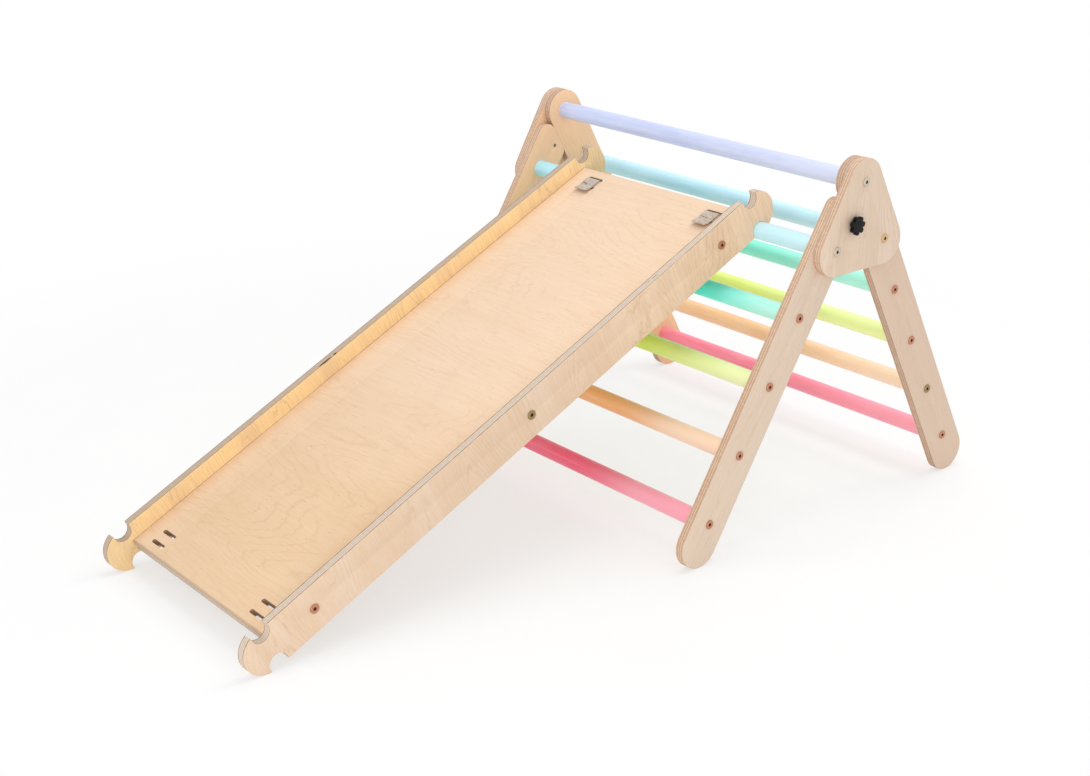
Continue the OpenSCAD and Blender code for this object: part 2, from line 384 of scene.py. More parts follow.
@shader_group("birch_veneer_figure", "Broad", "Rings", "Fibre", "Fleck", "Height", Rings=50.0)
def veneer_figure(r: Recipe, given: Outputs) -> Sequence[Socket]:
    """Birch face veneer. Place runs along the grain, across it, and through the sheet.

    Args:
        r: The group's recipe.
        given: The group's inputs.

    Returns:
        Cloudy tone, growth rings, fine fibre, short flecks and height.
    """
    place = given["Place"]
    drift = r.add("ShaderNodeTexNoise", named={
        "Vector": r.stretch(place, 3.0, 9.0, 3.0), "Scale": 1.0, "Detail": 2.0}, out=1)
    drift = r.vector("SUBTRACT", drift, (0.5, 0.5, 0.5))
    bent = r.vector("ADD", place, r.stretch(drift, 0.0, 0.02, 0.0))
    broad = r.noise(r.stretch(bent, 2.6, 17.0, 6.0), 1.0, 4.0, 0.62)
    hills = r.noise(r.stretch(bent, 1.4, 6.5, 3.0), 1.0, 1.0, 0.4)
    jag = r.noise(r.stretch(place, 30.0, 95.0, 30.0), 1.0, 3.0, 0.6)
    level = r.math("MULTIPLY_ADD", jag, 0.030, hills)
    wave = r.math("PINGPONG", r.math("MULTIPLY", level, given["Rings"]), 0.5)
    line = r.ramp(wave, 0.0, 0.15, 1.0, 0.0)
    patchy = r.ramp(r.noise(r.stretch(place, 7.0, 22.0, 8.0), 1.0, 2.0), 0.36, 0.66)
    rings = r.math("MULTIPLY", line, patchy)
    fibre = r.noise(r.stretch(bent, 15.0, 420.0, 220.0), 1.0, 4.0, 0.66)
    fleck = r.ramp(r.noise(r.stretch(bent, 75.0, 620.0, 300.0), 1.0, 1.0), 0.70, 0.76)
    height = r.math("MULTIPLY_ADD", fibre, 0.6, r.math("MULTIPLY", rings, -0.3))
    return broad, rings, fibre, fleck, height


@shader_group("ply_edge_layers", "Wall", "EndGrain", "Glue", "Hatch", "Rim", "Height",
              Depth=0.5, Plies=7.0, First=0.0)
def ply_layers(r: Recipe, given: Outputs) -> Sequence[Socket]:
    """Plywood edge. Place is as for the veneer, Depth runs from 0 to 1 through the sheet, and
    First is 1 where the face plies show end grain on the edge.

    Args:
        r: The group's recipe.
        given: The group's inputs.

    Returns:
        The wall mask, end-grain plies, glue lines, cut hatch, the burnt line beside each face,
        and height.
    """
    depth, place = given["Depth"], given["Place"]
    wobble = r.noise(r.stretch(place, 45.0, 45.0, 45.0), 1.0, 2.0)
    shift = r.math("MULTIPLY_ADD", wobble, 0.16, -0.08)
    layer = r.math("MULTIPLY_ADD", depth, given["Plies"], shift)
    share = r.math("PINGPONG", layer, 0.5)
    glue = r.ramp(share, 0.03, 0.15, 1.0, 0.0)
    count = r.math("ADD", r.math("FLOOR", layer), given["First"])
    turn = r.math("PINGPONG", count, 1.0)
    hatch = r.noise(r.stretch(place, 420.0, 420.0, 70.0), 1.0, 3.0, 0.65)
    strokes = r.ramp(hatch, 0.38, 0.66)
    end_grain = r.math("MULTIPLY", turn, r.math("MULTIPLY_ADD", strokes, 0.35, 0.65))
    near = r.math("MINIMUM", depth, r.math("SUBTRACT", 1.0, depth))
    wall = r.ramp(near, 0.004, 0.035)
    rim = r.math("MULTIPLY", r.ramp(near, 0.020, 0.040), r.ramp(near, 0.090, 0.120, 1.0, 0.0))
    rim = r.math("MULTIPLY", rim, r.ramp(wobble, 0.25, 0.55, 0.5, 1.0))
    height = r.math("SUBTRACT", r.math("MULTIPLY", hatch, 0.5), glue)
    return wall, end_grain, glue, hatch, rim, r.math("MULTIPLY", height, wall)


@shader_group("handled_arris", "Rub", "Smudge", Depth=0.5)
def handled_arris(r: Recipe, given: Outputs) -> Sequence[Socket]:
    """Where hands and sanding have rubbed the rounded edges.

    Args:
        r: The group's recipe.
        given: The group's inputs.

    Returns:
        The rub along the arris and faint smudges on the faces.
    """
    depth, place = given["Depth"], given["Place"]
    near = r.math("MINIMUM", depth, r.math("SUBTRACT", 1.0, depth))
    band = r.math("MULTIPLY", r.ramp(near, 0.002, 0.03), r.ramp(near, 0.05, 0.11, 1.0, 0.0))
    broken = r.ramp(r.noise(place, 28.0, 3.0), 0.3, 0.6, 0.35, 1.0)
    smudge = r.ramp(r.noise(place, 9.0, 4.0, 0.6), 0.52, 0.75)
    return r.math("MULTIPLY", band, broken), smudge


@shader_group("stained_rod", "Cloud", "Fibre", "Thin", "Height")
def stained_rod(r: Recipe, given: Outputs) -> Sequence[Socket]:
    """Round rod under a thin coloured lacquer. Place runs along the rod first.

    Args:
        r: The group's recipe.
        given: The group's inputs.

    Returns:
        Cloudy stain, wood fibre, worn-thin patches and height.
    """
    place = given["Place"]
    cloud = r.noise(r.stretch(place, 9.0, 60.0, 60.0), 1.0, 3.0, 0.6)
    fibre = r.noise(r.stretch(place, 22.0, 620.0, 620.0), 1.0, 3.0, 0.65)
    thin = r.ramp(r.noise(r.stretch(place, 16.0, 90.0, 90.0), 1.0, 2.0), 0.58, 0.78)
    pore = r.ramp(r.noise(r.stretch(place, 90.0, 1300.0, 1300.0), 1.0, 1.0), 0.68, 0.76)
    height = r.math("SUBTRACT", fibre, pore)
    return cloud, fibre, thin, height


@shader_group("worn_plating", "Tarnish", "Scratch", "Height")
def worn_plating(r: Recipe, given: Outputs) -> Sequence[Socket]:
    """Plated steel with a rubbed finish.

    Args:
        r: The group's recipe.
        given: The group's inputs.

    Returns:
        Tarnish, fine scratches and height.
    """
    place = given["Place"]
    tarnish = r.ramp(r.noise(place, 260.0, 4.0, 0.6), 0.56, 0.8)
    scratch = r.noise(r.stretch(place, 400.0, 400.0, 3600.0), 1.0, 2.0, 0.6)
    return tarnish, scratch, r.math("ADD", scratch, tarnish)


@shader_group("napped_webbing", "Mottle", "Nap", "Rib", "Height")
def napped_webbing(r: Recipe, given: Outputs) -> Sequence[Socket]:
    """Brushed webbing with a soft pile.

    Args:
        r: The group's recipe.
        given: The group's inputs.

    Returns:
        Mottling, nap, weave ribs and height.
    """
    place = given["Place"]
    mottle = r.noise(place, 330.0, 4.0, 0.65)
    nap = r.noise(place, 1500.0, 3.0, 0.7)
    rib = r.add("ShaderNodeTexWave", named={
        "Vector": place, "Scale": 240.0, "Distortion": 2.0, "Detail": 2.0}, out=1,
        wave_type="BANDS", bands_direction="X")
    height = r.math("ADD", r.math("MULTIPLY", rib, 0.3), r.math("ADD", mottle, nap))
    return mottle, nap, rib, height


@shader_group("moulded_grain", "Grain", "Dust", "Height")
def moulded_grain(r: Recipe, given: Outputs) -> Sequence[Socket]:
    """Fine texture of a moulded plastic skin.

    Args:
        r: The group's recipe.
        given: The group's inputs.

    Returns:
        The grain, faint dust and height.
    """
    place = given["Place"]
    grain = r.noise(place, 1400.0, 2.0, 0.6)
    dust = r.ramp(r.noise(place, 420.0, 4.0, 0.7), 0.58, 0.8)
    return grain, dust, r.math("ADD", grain, dust)


# ---------------------------------------------------------------- finishes


class Finish:
    """A material that is made once and then used by every piece that carries it."""

    name: str

    def cover(self, r: Recipe, shader: bpy.types.Node) -> None:
        """Feeds the shader; each finish says how."""
        raise NotImplementedError

    def material(self) -> bpy.types.Material:
        """The material itself.

        Returns:
            The finish as a Blender material, made on its first use.
        """
        found = bpy.data.materials.get(self.name)
        if found is not None:
            return found
        made = bpy.data.materials.new(self.name)
        made.use_nodes = True
        recipe = Recipe(made.node_tree)
        shader = recipe.add("ShaderNodeBsdfPrincipled", out=None)
        self.cover(recipe, shader)
        recipe.add("ShaderNodeOutputMaterial", shader.outputs[0], out=None)
        return made


class Grain(Enum):
    """Which way the face grain runs, in a sheet's own turned axes."""

    DOWN = 1
    CROSS = 2
    SIDEWAYS = 3


@dataclass(frozen=True)
class Void:
    """A gap between plies that shows as a dark slit in a sheet's edge.

    Attributes:
        x: Place across the ramp.
        u: Distance down the ramp.
        v: Height square to the ramp.
        length: Size along the ramp.
        width: Size across the plies.
        deep: Size square to the ramp.
        colour: Painted shade that stands for the depth of the gap.
    """

    x: float
    u: float
    v: float
    length: float
    width: float = 0.0011
    deep: float = 1 / 60
    colour: Colour = tint(82, 52, 30)

    def mask(self, r: Recipe, turned: Socket) -> Socket:
        """The slit's frayed shape.

        Args:
            r: The material's recipe.
            turned: The place in the sheet's own axes.

        Returns:
            1 in the slit and 0 outside it.
        """
        offset = r.vector("SUBTRACT", turned, (self.x, -self.u, self.v))
        scaled = r.stretch(offset, 2 / self.width, 2 / self.length, 2 / self.deep)
        frayed = r.math("MULTIPLY", r.noise(turned, 900.0, 2.0), 0.5)
        return r.ramp(r.math("ADD", r.far(scaled), frayed), 1.0, 1.35, 1.0, 0.0)


@dataclass(frozen=True)
class Plywood(Finish):
    """Birch plywood with veneer faces and layered edges.

    Attributes:
        name: The material's name.
        turn: Turn of the sheet's own axes about X, in degrees.
        grain: Which way the face grain runs.
        start: Where the sheet begins along its thickness.
        thick: Its thickness.
        face: The outer face.
        inner: The face towards the middle of the frame, warmer than the outer face: partly the
            wood's own colour and partly painted bounce light from the wood around it.
        shade: Darker wood in either face.
        ring: Growth rings.
        edge: Pale plies of the edge.
        end_grain: Dark plies of the edge.
        glue: Glue lines, and flecks in the face.
        burn: The line that the saw has burnt beside each face.
        burnt: How strong that line is.
        first_ply: 1 where the face plies show end grain on the edge.
        centre: The point (y, z) that the axes turn about.
        rings: How close the rings lie.
        figure: How strong the figure is.
        flecks: How strong the flecks are.
        voids: Gaps between the plies.
        high: What the outer face turns to near the sheet's upper end, a paler colour painted there
            as light.
    """

    name: str
    turn: float
    grain: Grain
    start: float
    thick: float = 0.015
    face: Colour = tint(238, 216, 195)
    inner: Colour = tint(254, 207, 160)
    shade: Colour = tint(220, 192, 164)
    ring: Colour = tint(204, 170, 138)
    edge: Colour = tint(234, 205, 178)
    end_grain: Colour = tint(190, 153, 126)
    glue: Colour = tint(150, 112, 90)
    burn: Colour = tint(128, 92, 66)
    burnt: float = 0.45
    first_ply: float = 0.0
    centre: tuple[float, float] = VIEW.pivot
    rings: float = 50.0
    figure: float = 0.5
    flecks: float = 0.15
    voids: tuple[Void, ...] = ()
    high: Colour | None = None

    def cover(self, r: Recipe, shader: bpy.types.Node) -> None:
        """Paints the faces with veneer and the edges with plies.

        Args:
            r: The material's recipe.
            shader: Its Principled shader.
        """
        turned = r.add("ShaderNodeMapping", r.spot(), (0.0, *self.centre),
                       (math.radians(self.turn), 0.0, 0.0), vector_type="TEXTURE")
        x, along, up = r.split(turned)
        order = {Grain.DOWN: (along, up, x), Grain.CROSS: (up, along, x),
                 Grain.SIDEWAYS: (x, along, up)}[self.grain]
        place = r.add("ShaderNodeCombineXYZ", *order)
        through = up if self.grain is Grain.SIDEWAYS else r.math("ABSOLUTE", x)
        depth = r.ramp(through, self.start, self.start + self.thick, smooth=False)
        layers = r.group(ply_layers, Place=place, Depth=depth, First=self.first_ply)
        rubbed = r.group(handled_arris, Place=place, Depth=depth)
        veneer = r.group(veneer_figure, Place=place, Rings=self.rings)

        face = self.weathered(r, turned, self.paint_face(r, along, depth, veneer, rubbed))
        colour = r.mix(layers["Wall"], face, self.paint_edge(r, layers, rubbed))
        colour = self.scorched(r, turned, layers, colour)
        # painted shade: each void is coloured dark for the depth of its gap
        for void in self.voids:
            colour = r.mix(void.mask(r, turned), colour, void.colour)
        rough = r.math("MULTIPLY_ADD", veneer["Fibre"], 0.16, 0.42)
        rough = r.math("MULTIPLY_ADD", layers["Wall"], 0.2, rough)
        height = r.math("MULTIPLY_ADD", veneer["Height"], 0.25, layers["Height"])
        r.feed(shader, Base_Color=colour, Roughness=rough, Normal=r.bump(height, 0.5, 0.00025),
               Specular_IOR_Level=0.35)

    def paint_face(self, r: Recipe, along: Socket, depth: Socket, veneer: Outputs,
                   rubbed: Outputs) -> Socket:
        """Paints the veneer.

        Args:
            r: The material's recipe.
            along: Place along the sheet.
            depth: Place through the sheet, 0 to 1.
            veneer: What the veneer group gives.
            rubbed: What the group of the rubbed edges gives.

        Returns:
            The colour of both faces.
        """
        outer = self.face
        # painted light: the outer face turns paler towards the sheet's upper end
        if self.high is not None:
            outer = r.mix(r.ramp(along, -0.60, -0.05), self.face, self.high)
        # the inner face's warmer colour is partly the wood's own and partly painted bounce light
        # from the wood around it
        colour = r.mix(r.ramp(depth, 0.3, 0.7), self.inner, outer)
        broad = r.ramp(veneer["Broad"], 0.34, 0.68)
        colour = r.mix(r.math("MULTIPLY", broad, self.figure), colour, self.shade)
        colour = r.mix(r.math("MULTIPLY", veneer["Rings"], self.figure), colour, self.ring)
        fibre = r.ramp(veneer["Fibre"], 0.36, 0.68, 0.0, 0.45)
        colour = r.mix(fibre, colour, self.shade)
        colour = r.mix(r.math("MULTIPLY", veneer["Fleck"], self.flecks), colour, self.glue)
        return r.mix(r.math("MULTIPLY", rubbed["Smudge"], 0.10), colour, self.shade)

    def paint_edge(self, r: Recipe, layers: Outputs, rubbed: Outputs) -> Socket:
        """Paints the plies.

        Args:
            r: The material's recipe.
            layers: What the group of the plies gives.
            rubbed: What the group of the rubbed edges gives.

        Returns:
            The colour of the cut edges.
        """
        cut = r.mix(r.ramp(layers["Hatch"], 0.3, 0.75, 0.0, 0.3), self.edge, self.end_grain)
        cut = r.mix(r.math("MULTIPLY", layers["EndGrain"], 0.9), cut, self.end_grain)
        cut = r.mix(r.math("MULTIPLY", layers["Glue"], 0.8), cut, self.glue)
        cut = r.mix(r.math("MULTIPLY", rubbed["Rub"], 0.35), cut, self.face)
        return r.mix(r.math("MULTIPLY", layers["Rim"], self.burnt), cut, self.burn)

    def weathered(self, r: Recipe, turned: Socket, colour: Socket) -> Socket:
        """What use has done to a sheet's faces, and any light painted on them: nothing, unless its
        kind says so.
        """
        return colour

    def scorched(self, r: Recipe, turned: Socket, layers: Outputs, colour: Socket) -> Socket:
        """What the router has burnt in a sheet's edges: nothing, unless its kind says so."""
        return colour


@dataclass(frozen=True)
class BoardPlywood(Plywood):
    """The ramp board: a dark line along each rail, a yellowed low end with painted bounce light
    beside the far rail, and burnt slots.

    Attributes:
        joint: Where the dark line begins and is full, across the board.
        yellow: What the low end's colour is multiplied by.
        yellow_from: Where that begins, down the board.
        yellow_full: Where it is full.
        sheltered: Across the board, from where the yellowing is weakest, beside the far rail, to
            where it is full again; the weaker yellowing there is painted bounce light from that
            rail.
        low_arris: Down the board, where its worn low edge begins and is full.
        worn: The worn edge's colour.
        scorch: The slots' burnt walls.
        slot_middle: The slots' middle, across the board.
        slot_straight: Half the length of a slot's straight part.
        board_middle: The board's middle, down the ramp.
        pair: From the board's end to the middle of a pair of slots.
        half_gap: Half the distance between the two slots of a pair.
        burnt_reach: How far from a slot's middle line its burnt wall is, and where that ends.
    """

    joint: tuple[float, float] = (0.1988, 0.1994)
    yellow: Colour = (0.94, 0.895, 0.80, 1.0)
    yellow_from: float = 0.50
    yellow_full: float = 0.85
    sheltered: tuple[float, float] = (-0.20, -0.10)
    low_arris: tuple[float, float] = (1.0375, 1.0405)
    worn: Colour = tint(190, 163, 136)
    scorch: Colour = tint(170, 130, 100)
    slot_middle: float = 0.148
    slot_straight: float = 0.0145
    board_middle: float = 0.524
    pair: float = 0.03725
    half_gap: float = 0.01125
    burnt_reach: tuple[float, float] = (0.0040, 0.0050)

    def weathered(self, r: Recipe, turned: Socket, colour: Socket) -> Socket:
        """Darkens the joints, yellows the low end, paints bounce light beside the far rail and
        wears its edge.

        Args:
            r: The material's recipe.
            turned: The place in the sheet's own axes.
            colour: The faces' colour.

        Returns:
            The weathered colour.
        """
        x, along, _ = r.split(turned)
        joint = r.ramp(r.math("ABSOLUTE", x), *self.joint)
        colour = r.mix(r.math("MULTIPLY", joint, 0.75), colour, self.burn)
        yellow = r.ramp(along, -self.yellow_full, -self.yellow_from, 1.0, 0.0)
        # painted bounce light: beside the far rail the low end's yellowing is weakened, as if lit
        # by that rail's inner face
        yellow = r.math("MULTIPLY", yellow, r.ramp(x, *self.sheltered, 0.25, 1.0))
        colour = r.mix(yellow, colour, self.yellow, "MULTIPLY")
        begins, full = self.low_arris
        arris = r.ramp(along, -full, -begins, 1.0, 0.0)
        return r.mix(r.math("MULTIPLY", arris, 0.9), colour, self.worn)

    def scorched(self, r: Recipe, turned: Socket, layers: Outputs, colour: Socket) -> Socket:
        """Burns the walls of the slots, all found by folding the board about its two middles.

        Args:
            r: The material's recipe.
            turned: The place in the sheet's own axes.
            layers: What the group of the plies gives.
            colour: The board's colour.

        Returns:
            The colour with burnt slots.
        """
        x, along, _ = r.split(turned)
        side = r.math("ABSOLUTE", r.math("SUBTRACT", r.math("ABSOLUTE", x), self.slot_middle))
        side = r.math("MAXIMUM", r.math("SUBTRACT", side, self.slot_straight), 0.0)
        end = r.math("ABSOLUTE", r.math("ADD", along, self.board_middle))
        end = r.math("SUBTRACT", r.math("SUBTRACT", self.board_middle, end), self.pair)
        end = r.math("SUBTRACT", r.math("ABSOLUTE", end), self.half_gap)
        reach = r.far(r.add("ShaderNodeCombineXYZ", side, end, 0.0))
        burnt = r.math("MULTIPLY", r.ramp(reach, *self.burnt_reach, 1.0, 0.0), layers["Wall"])
        burnt = r.math("MULTIPLY", burnt, r.ramp(layers["EndGrain"], 0.0, 1.0, 0.65, 0.9))
        return r.mix(burnt, colour, self.scorch)


@dataclass(frozen=True)
class RodLacquer(Finish):
    """Coloured satin lacquer on a round beech rod, paler towards its right end as painted light.

    Attributes:
        name: The material's name.
        colour: The lacquer.
        deep: Where it lies thick.
        pale: Where the wood shows through.
        faded: The pale colour painted towards the rod's right end as light falling there.
        fade_from: Where the painted light begins, along X.
        fade_to: Where it is full.
        fade_share: How far it goes.
    """

    name: str
    colour: Colour
    deep: Colour
    pale: Colour
    faded: Colour
    fade_from: float = -0.06
    fade_to: float = 0.34
    fade_share: float = 0.7

    def cover(self, r: Recipe, shader: bpy.types.Node) -> None:
        """Stains the rod.

        Args:
            r: The material's recipe.
            shader: Its Principled shader.
        """
        rod = r.group(stained_rod, Place=r.spot())
        along = r.split(r.spot())[0]
        colour = r.mix(r.ramp(rod["Cloud"], 0.3, 0.7), self.colour, self.deep)
        # painted light: the lacquer turns paler towards the rod's right end, where light falls on
        # it
        faded = r.ramp(along, self.fade_from, self.fade_to, 0.0, self.fade_share)
        colour = r.mix(faded, colour, self.faded)
        colour = r.mix(r.ramp(rod["Fibre"], 0.35, 0.7, 0.0, 0.4), colour, self.pale)
        colour = r.mix(r.math("MULTIPLY", rod["Thin"], 0.35), colour, self.pale)
        rough = r.math("MULTIPLY_ADD", rod["Fibre"], 0.2, 0.34)
        r.feed(shader, Base_Color=colour, Roughness=rough, Specular_IOR_Level=0.4,
               Coat_Weight=0.3, Coat_Roughness=0.25,
               Normal=r.bump(rod["Height"], 0.35, 0.00015))


@dataclass(frozen=True)
class Plating(Finish):
    """Plated steel of a bolt, stud or insert.

    Attributes:
        name: The material's name.
        colour: The plating.
        dull: The plating where it is tarnished.
        aged: Places of the bolts that are dull all over.
        bearing: How far from the middle the heads bear on the wood.
        pit: Painted shade down in the sockets.
        pit_middle: The middle of the sockets' walls, inwards of the bearing face.
        pit_half: Half their depth.
        bolt_reach: A little more than a head's radius, and where its colour ends.
        metal: How metallic it is.
        rough: How rough it is where it is scratched least.
    """

    name: str
    colour: Colour
    dull: Colour
    aged: tuple[tuple[float, float, float], ...] = ()
    bearing: tuple[float, ...] = ()
    pit: Colour = tint(58, 38, 30)
    pit_middle: float = 0.0011
    pit_half: float = 0.0013
    bolt_reach: tuple[float, float] = (0.010, 0.011)
    metal: float = 0.9
    rough: float = 0.22

    def cover(self, r: Recipe, shader: bpy.types.Node) -> None:
        """Plates the piece.

        Args:
            r: The material's recipe.
            shader: Its Principled shader.
        """
        spot = r.spot()
        worn = r.group(worn_plating, Place=spot)
        colour = r.mix(r.math("MULTIPLY", worn["Tarnish"], 0.5), self.colour, self.dull)
        for bolt in self.aged:
            off = r.far(r.vector("SUBTRACT", spot, bolt))
            colour = r.mix(r.ramp(off, *self.bolt_reach, 1.0, 0.0), colour, self.dull)
        out = r.math("ABSOLUTE", r.split(spot)[0])
        # painted shade: the sockets' walls are darkened where their hollows would lie in shade
        for face in self.bearing:
            sunk = r.math("COMPARE", out, face - self.pit_middle, self.pit_half)
            colour = r.mix(r.math("MULTIPLY", sunk, 0.8), colour, self.pit)
        rough = r.math("MULTIPLY_ADD", worn["Scratch"], 0.25, self.rough)
        rough = r.math("MULTIPLY_ADD", worn["Tarnish"], 0.12, rough)
        r.feed(shader, Base_Color=colour, Roughness=rough, Metallic=self.metal,
               Normal=r.bump(worn["Height"], 0.25, 0.00008))


@dataclass(frozen=True)
class KnobPlastic(Finish):
    """Black moulded plastic with a soft gloss.

    Attributes:
        name: The material's name.
        colour: The plastic.
        dust: Faint dust on it.
    """

    name: str = "black_knob_plastic"
    colour: Colour = tint(10, 10, 13)
    dust: Colour = tint(34, 33, 33)

    def cover(self, r: Recipe, shader: bpy.types.Node) -> None:
        """Moulds the skin.

        Args:
            r: The material's recipe.
            shader: Its Principled shader.
        """
        skin = r.group(moulded_grain, Place=r.spot())
        colour = r.mix(r.math("MULTIPLY", skin["Dust"], 0.25), self.colour, self.dust)
        rough = r.math("MULTIPLY_ADD", skin["Grain"], 0.1, 0.07)
        r.feed(shader, Base_Color=colour, Roughness=rough, Specular_IOR_Level=0.16,
               Normal=r.bump(skin["Height"], 0.12, 0.0001))


@dataclass(frozen=True)
class Webbing(Finish):
    """Grey hook-and-loop webbing.

    Attributes:
        name: The material's name.
        colour: The webbing.
        dark: Its mottling and the gaps of the weave.
        pale: The tips of its pile.
    """

    name: str = "grey_strap_webbing"
    colour: Colour = tint(219, 204, 189)
    dark: Colour = tint(168, 152, 137)
    pale: Colour = tint(238, 228, 218)

    def cover(self, r: Recipe, shader: bpy.types.Node) -> None:
        """Weaves and brushes the strap.

        Args:
            r: The material's recipe.
            shader: Its Principled shader.
        """
        cloth = r.group(napped_webbing, Place=r.spot())
        colour = r.mix(r.ramp(cloth["Mottle"], 0.35, 0.65), self.dark, self.colour)
        colour = r.mix(r.ramp(cloth["Nap"], 0.5, 0.72, 0.0, 0.6), colour, self.pale)
        colour = r.mix(r.math("MULTIPLY", cloth["Rib"], 0.15), colour, self.dark)
        rough = r.math("MULTIPLY_ADD", cloth["Nap"], 0.1, 0.85)
        r.feed(shader, Base_Color=colour, Roughness=rough, Sheen_Weight=0.35,
               Sheen_Roughness=0.5, Specular_IOR_Level=0.25,
               Normal=r.bump(cloth["Height"], 0.8, 0.0005))


GREY_EDGE = dict(end_grain=tint(204, 184, 166), glue=tint(160, 137, 118),
                 burn=tint(112, 82, 58), burnt=0.95, first_ply=1.0)
BACK_LEG_PLY = Plywood("ply_back_leg", -61.4, Grain.DOWN, 0.350, centre=VIEW.top, figure=0.3,
                       face=tint(226, 200, 179), edge=tint(220, 190, 167),
                       end_grain=tint(176, 142, 118), glue=tint(138, 104, 82))
FRONT_LEG_PLY = Plywood("ply_front_leg", -121.4, Grain.DOWN, 0.3497, figure=0.3,
                        face=tint(229, 209, 189))
GUSSET_PLY = Plywood("ply_gusset", 90.0, Grain.DOWN, 0.365, figure=0.55,
                     face=tint(235, 213, 192), shade=tint(219, 191, 163))
# painted light: the rails' outer faces turn to the high colour towards their upper ends, and their
# orange inner colour is partly painted bounce light from the board
RAIL_PLY = Plywood("ply_ramp_rail", VIEW.ramp_tilt, Grain.CROSS, 0.200, figure=0.45,
                   flecks=0.25, face=tint(230, 205, 181), high=tint(251, 222, 191),
                   inner=tint(255, 222, 162), shade=tint(222, 188, 152),
                   ring=tint(204, 164, 122), edge=tint(226, 209, 192),
                   voids=(Void(-0.2024, 0.617, 0.067, 0.031, 0.0048),
                          Void(-0.2024, 0.5955, 0.067, 0.008, 0.0048),
                          Void(0.2065, 0.220, 0.067, 0.013), Void(0.2065, 0.2345, 0.067, 0.007),
                          Void(0.2136, 0.060, 0.067, 0.070, 0.0009)),
                   **GREY_EDGE)
# the far rail's copy has darker edge plies than the near rail's: painted shade on that rail's top
# edge
FAR_RAIL_PLY = replace(RAIL_PLY, name="ply_ramp_rail_left", edge=tint(208, 187, 166),
                       end_grain=tint(184, 160, 138), glue=tint(142, 116, 94))
BOARD_PLY = BoardPlywood("ply_ramp_board", VIEW.ramp_tilt, Grain.SIDEWAYS, 0.0235, figure=0.24,
                         flecks=0.35, face=tint(237, 210, 183), inner=tint(237, 210, 183),
                         shade=tint(226, 193, 158), ring=tint(200, 160, 120), rings=34.0,
                         edge=tint(216, 198, 180),
                         **GREY_EDGE | {"end_grain": tint(194, 173, 154)})

BACK_RUNGS = {
    "rung_lilac": RodLacquer("lacquer_lilac", tint(198, 207, 240), tint(187, 196, 236),
                             tint(216, 223, 241), tint(211, 219, 240)),
    "rung_back_cyan": RodLacquer("lacquer_cyan", tint(199, 242, 255), tint(179, 236, 255),
                                 tint(226, 250, 255), tint(212, 247, 255)),
    "rung_back_teal": RodLacquer("lacquer_mint", tint(138, 255, 230), tint(112, 254, 222),
                                 tint(200, 255, 244), tint(198, 253, 239)),
    "rung_back_lime": RodLacquer("lacquer_lime", tint(246, 255, 138), tint(240, 253, 114),
                                 tint(250, 255, 194), tint(242, 252, 184)),
    "rung_back_orange": RodLacquer("lacquer_orange", tint(255, 202, 154), tint(255, 192, 137),
                                   tint(255, 231, 207), tint(255, 231, 210)),
    "rung_back_pink": RodLacquer("lacquer_pink", tint(255, 140, 164), tint(254, 129, 154),
                                 tint(255, 172, 190), tint(255, 173, 190)),
}
# the front rungs' lacquers are copies of the back rungs' paints: deeper at their left ends as
# painted shade under the ramp, and wholly pale towards the right as painted light
FRONT_RUNGS = {
    "rung_front_cyan": RodLacquer(
        "front_lacquer_cyan", tint(184, 240, 255), tint(162, 234, 255),
        tint(216, 248, 255), tint(212, 245, 255)),
    "rung_front_teal": RodLacquer(
        "front_lacquer_mint", tint(40, 255, 238), tint(14, 253, 230),
        tint(110, 255, 241), tint(198, 252, 240), 0.12, 0.32, 1.0),
    "rung_front_lime": RodLacquer(
        "front_lacquer_lime", tint(214, 255, 56), tint(208, 255, 28),
        tint(238, 255, 146), tint(243, 255, 200), 0.0, 0.32, 1.0),
    "rung_front_orange": RodLacquer(
        "front_lacquer_orange", tint(255, 194, 124), tint(255, 186, 110),
        tint(255, 214, 172), tint(255, 228, 203), 0.08, 0.24, 1.0),
    "rung_front_pink": RodLacquer(
        "front_lacquer_pink", tint(255, 96, 133), tint(255, 84, 124),
        tint(255, 156, 180), tint(255, 174, 192), 0.05, 0.23, 1.0),
}
BRONZE = Plating("bolt_bronze_plating", tint(196, 138, 110), tint(158, 136, 98),
                 aged=((0.217, -0.1808, 0.2696), (0.367, 0.5831, 0.1714)),
                 bearing=(0.3648, 0.215))
BRASS = Plating("bolt_brass_plating", tint(208, 196, 178), tint(216, 182, 136),
                aged=((0.382, 0.4180, 0.4743),), bearing=(0.380,))
ZINC = Plating("zinc_plating", tint(176, 178, 180), tint(120, 120, 122))
KNOB_PLASTIC = KnobPlastic()
WEBBING = Webbing()


# ---------------------------------------------------------------- meshes


def new_object(name: str, data: bpy.types.ID) -> bpy.types.Object:
    """Puts something in the scene.

    Args:
        name: The object's name.
        data: Its mesh, light or camera.

    Returns:
        The new object, at the origin.
    """
    made = bpy.data.objects.new(name, data)
    bpy.context.scene.collection.objects.link(made)
    return made


def dress(piece: bpy.types.Object, finish: Finish) -> None:
    """Covers a piece with one finish."""
    piece.data.materials.clear()
    piece.data.materials.append(finish.material())


def meshed(shape: bmesh.types.BMesh, name: str) -> bpy.types.Mesh:
    """Turns a drawn shape into a mesh, faces outwards.

    Args:
        shape: The shape; it is freed.
        name: The mesh's name.

    Returns:
        The mesh.
    """
    bmesh.ops.recalc_face_normals(shape, faces=shape.faces)
    mesh = bpy.data.meshes.new(name)
    shape.to_mesh(mesh)
    shape.free()
    return mesh


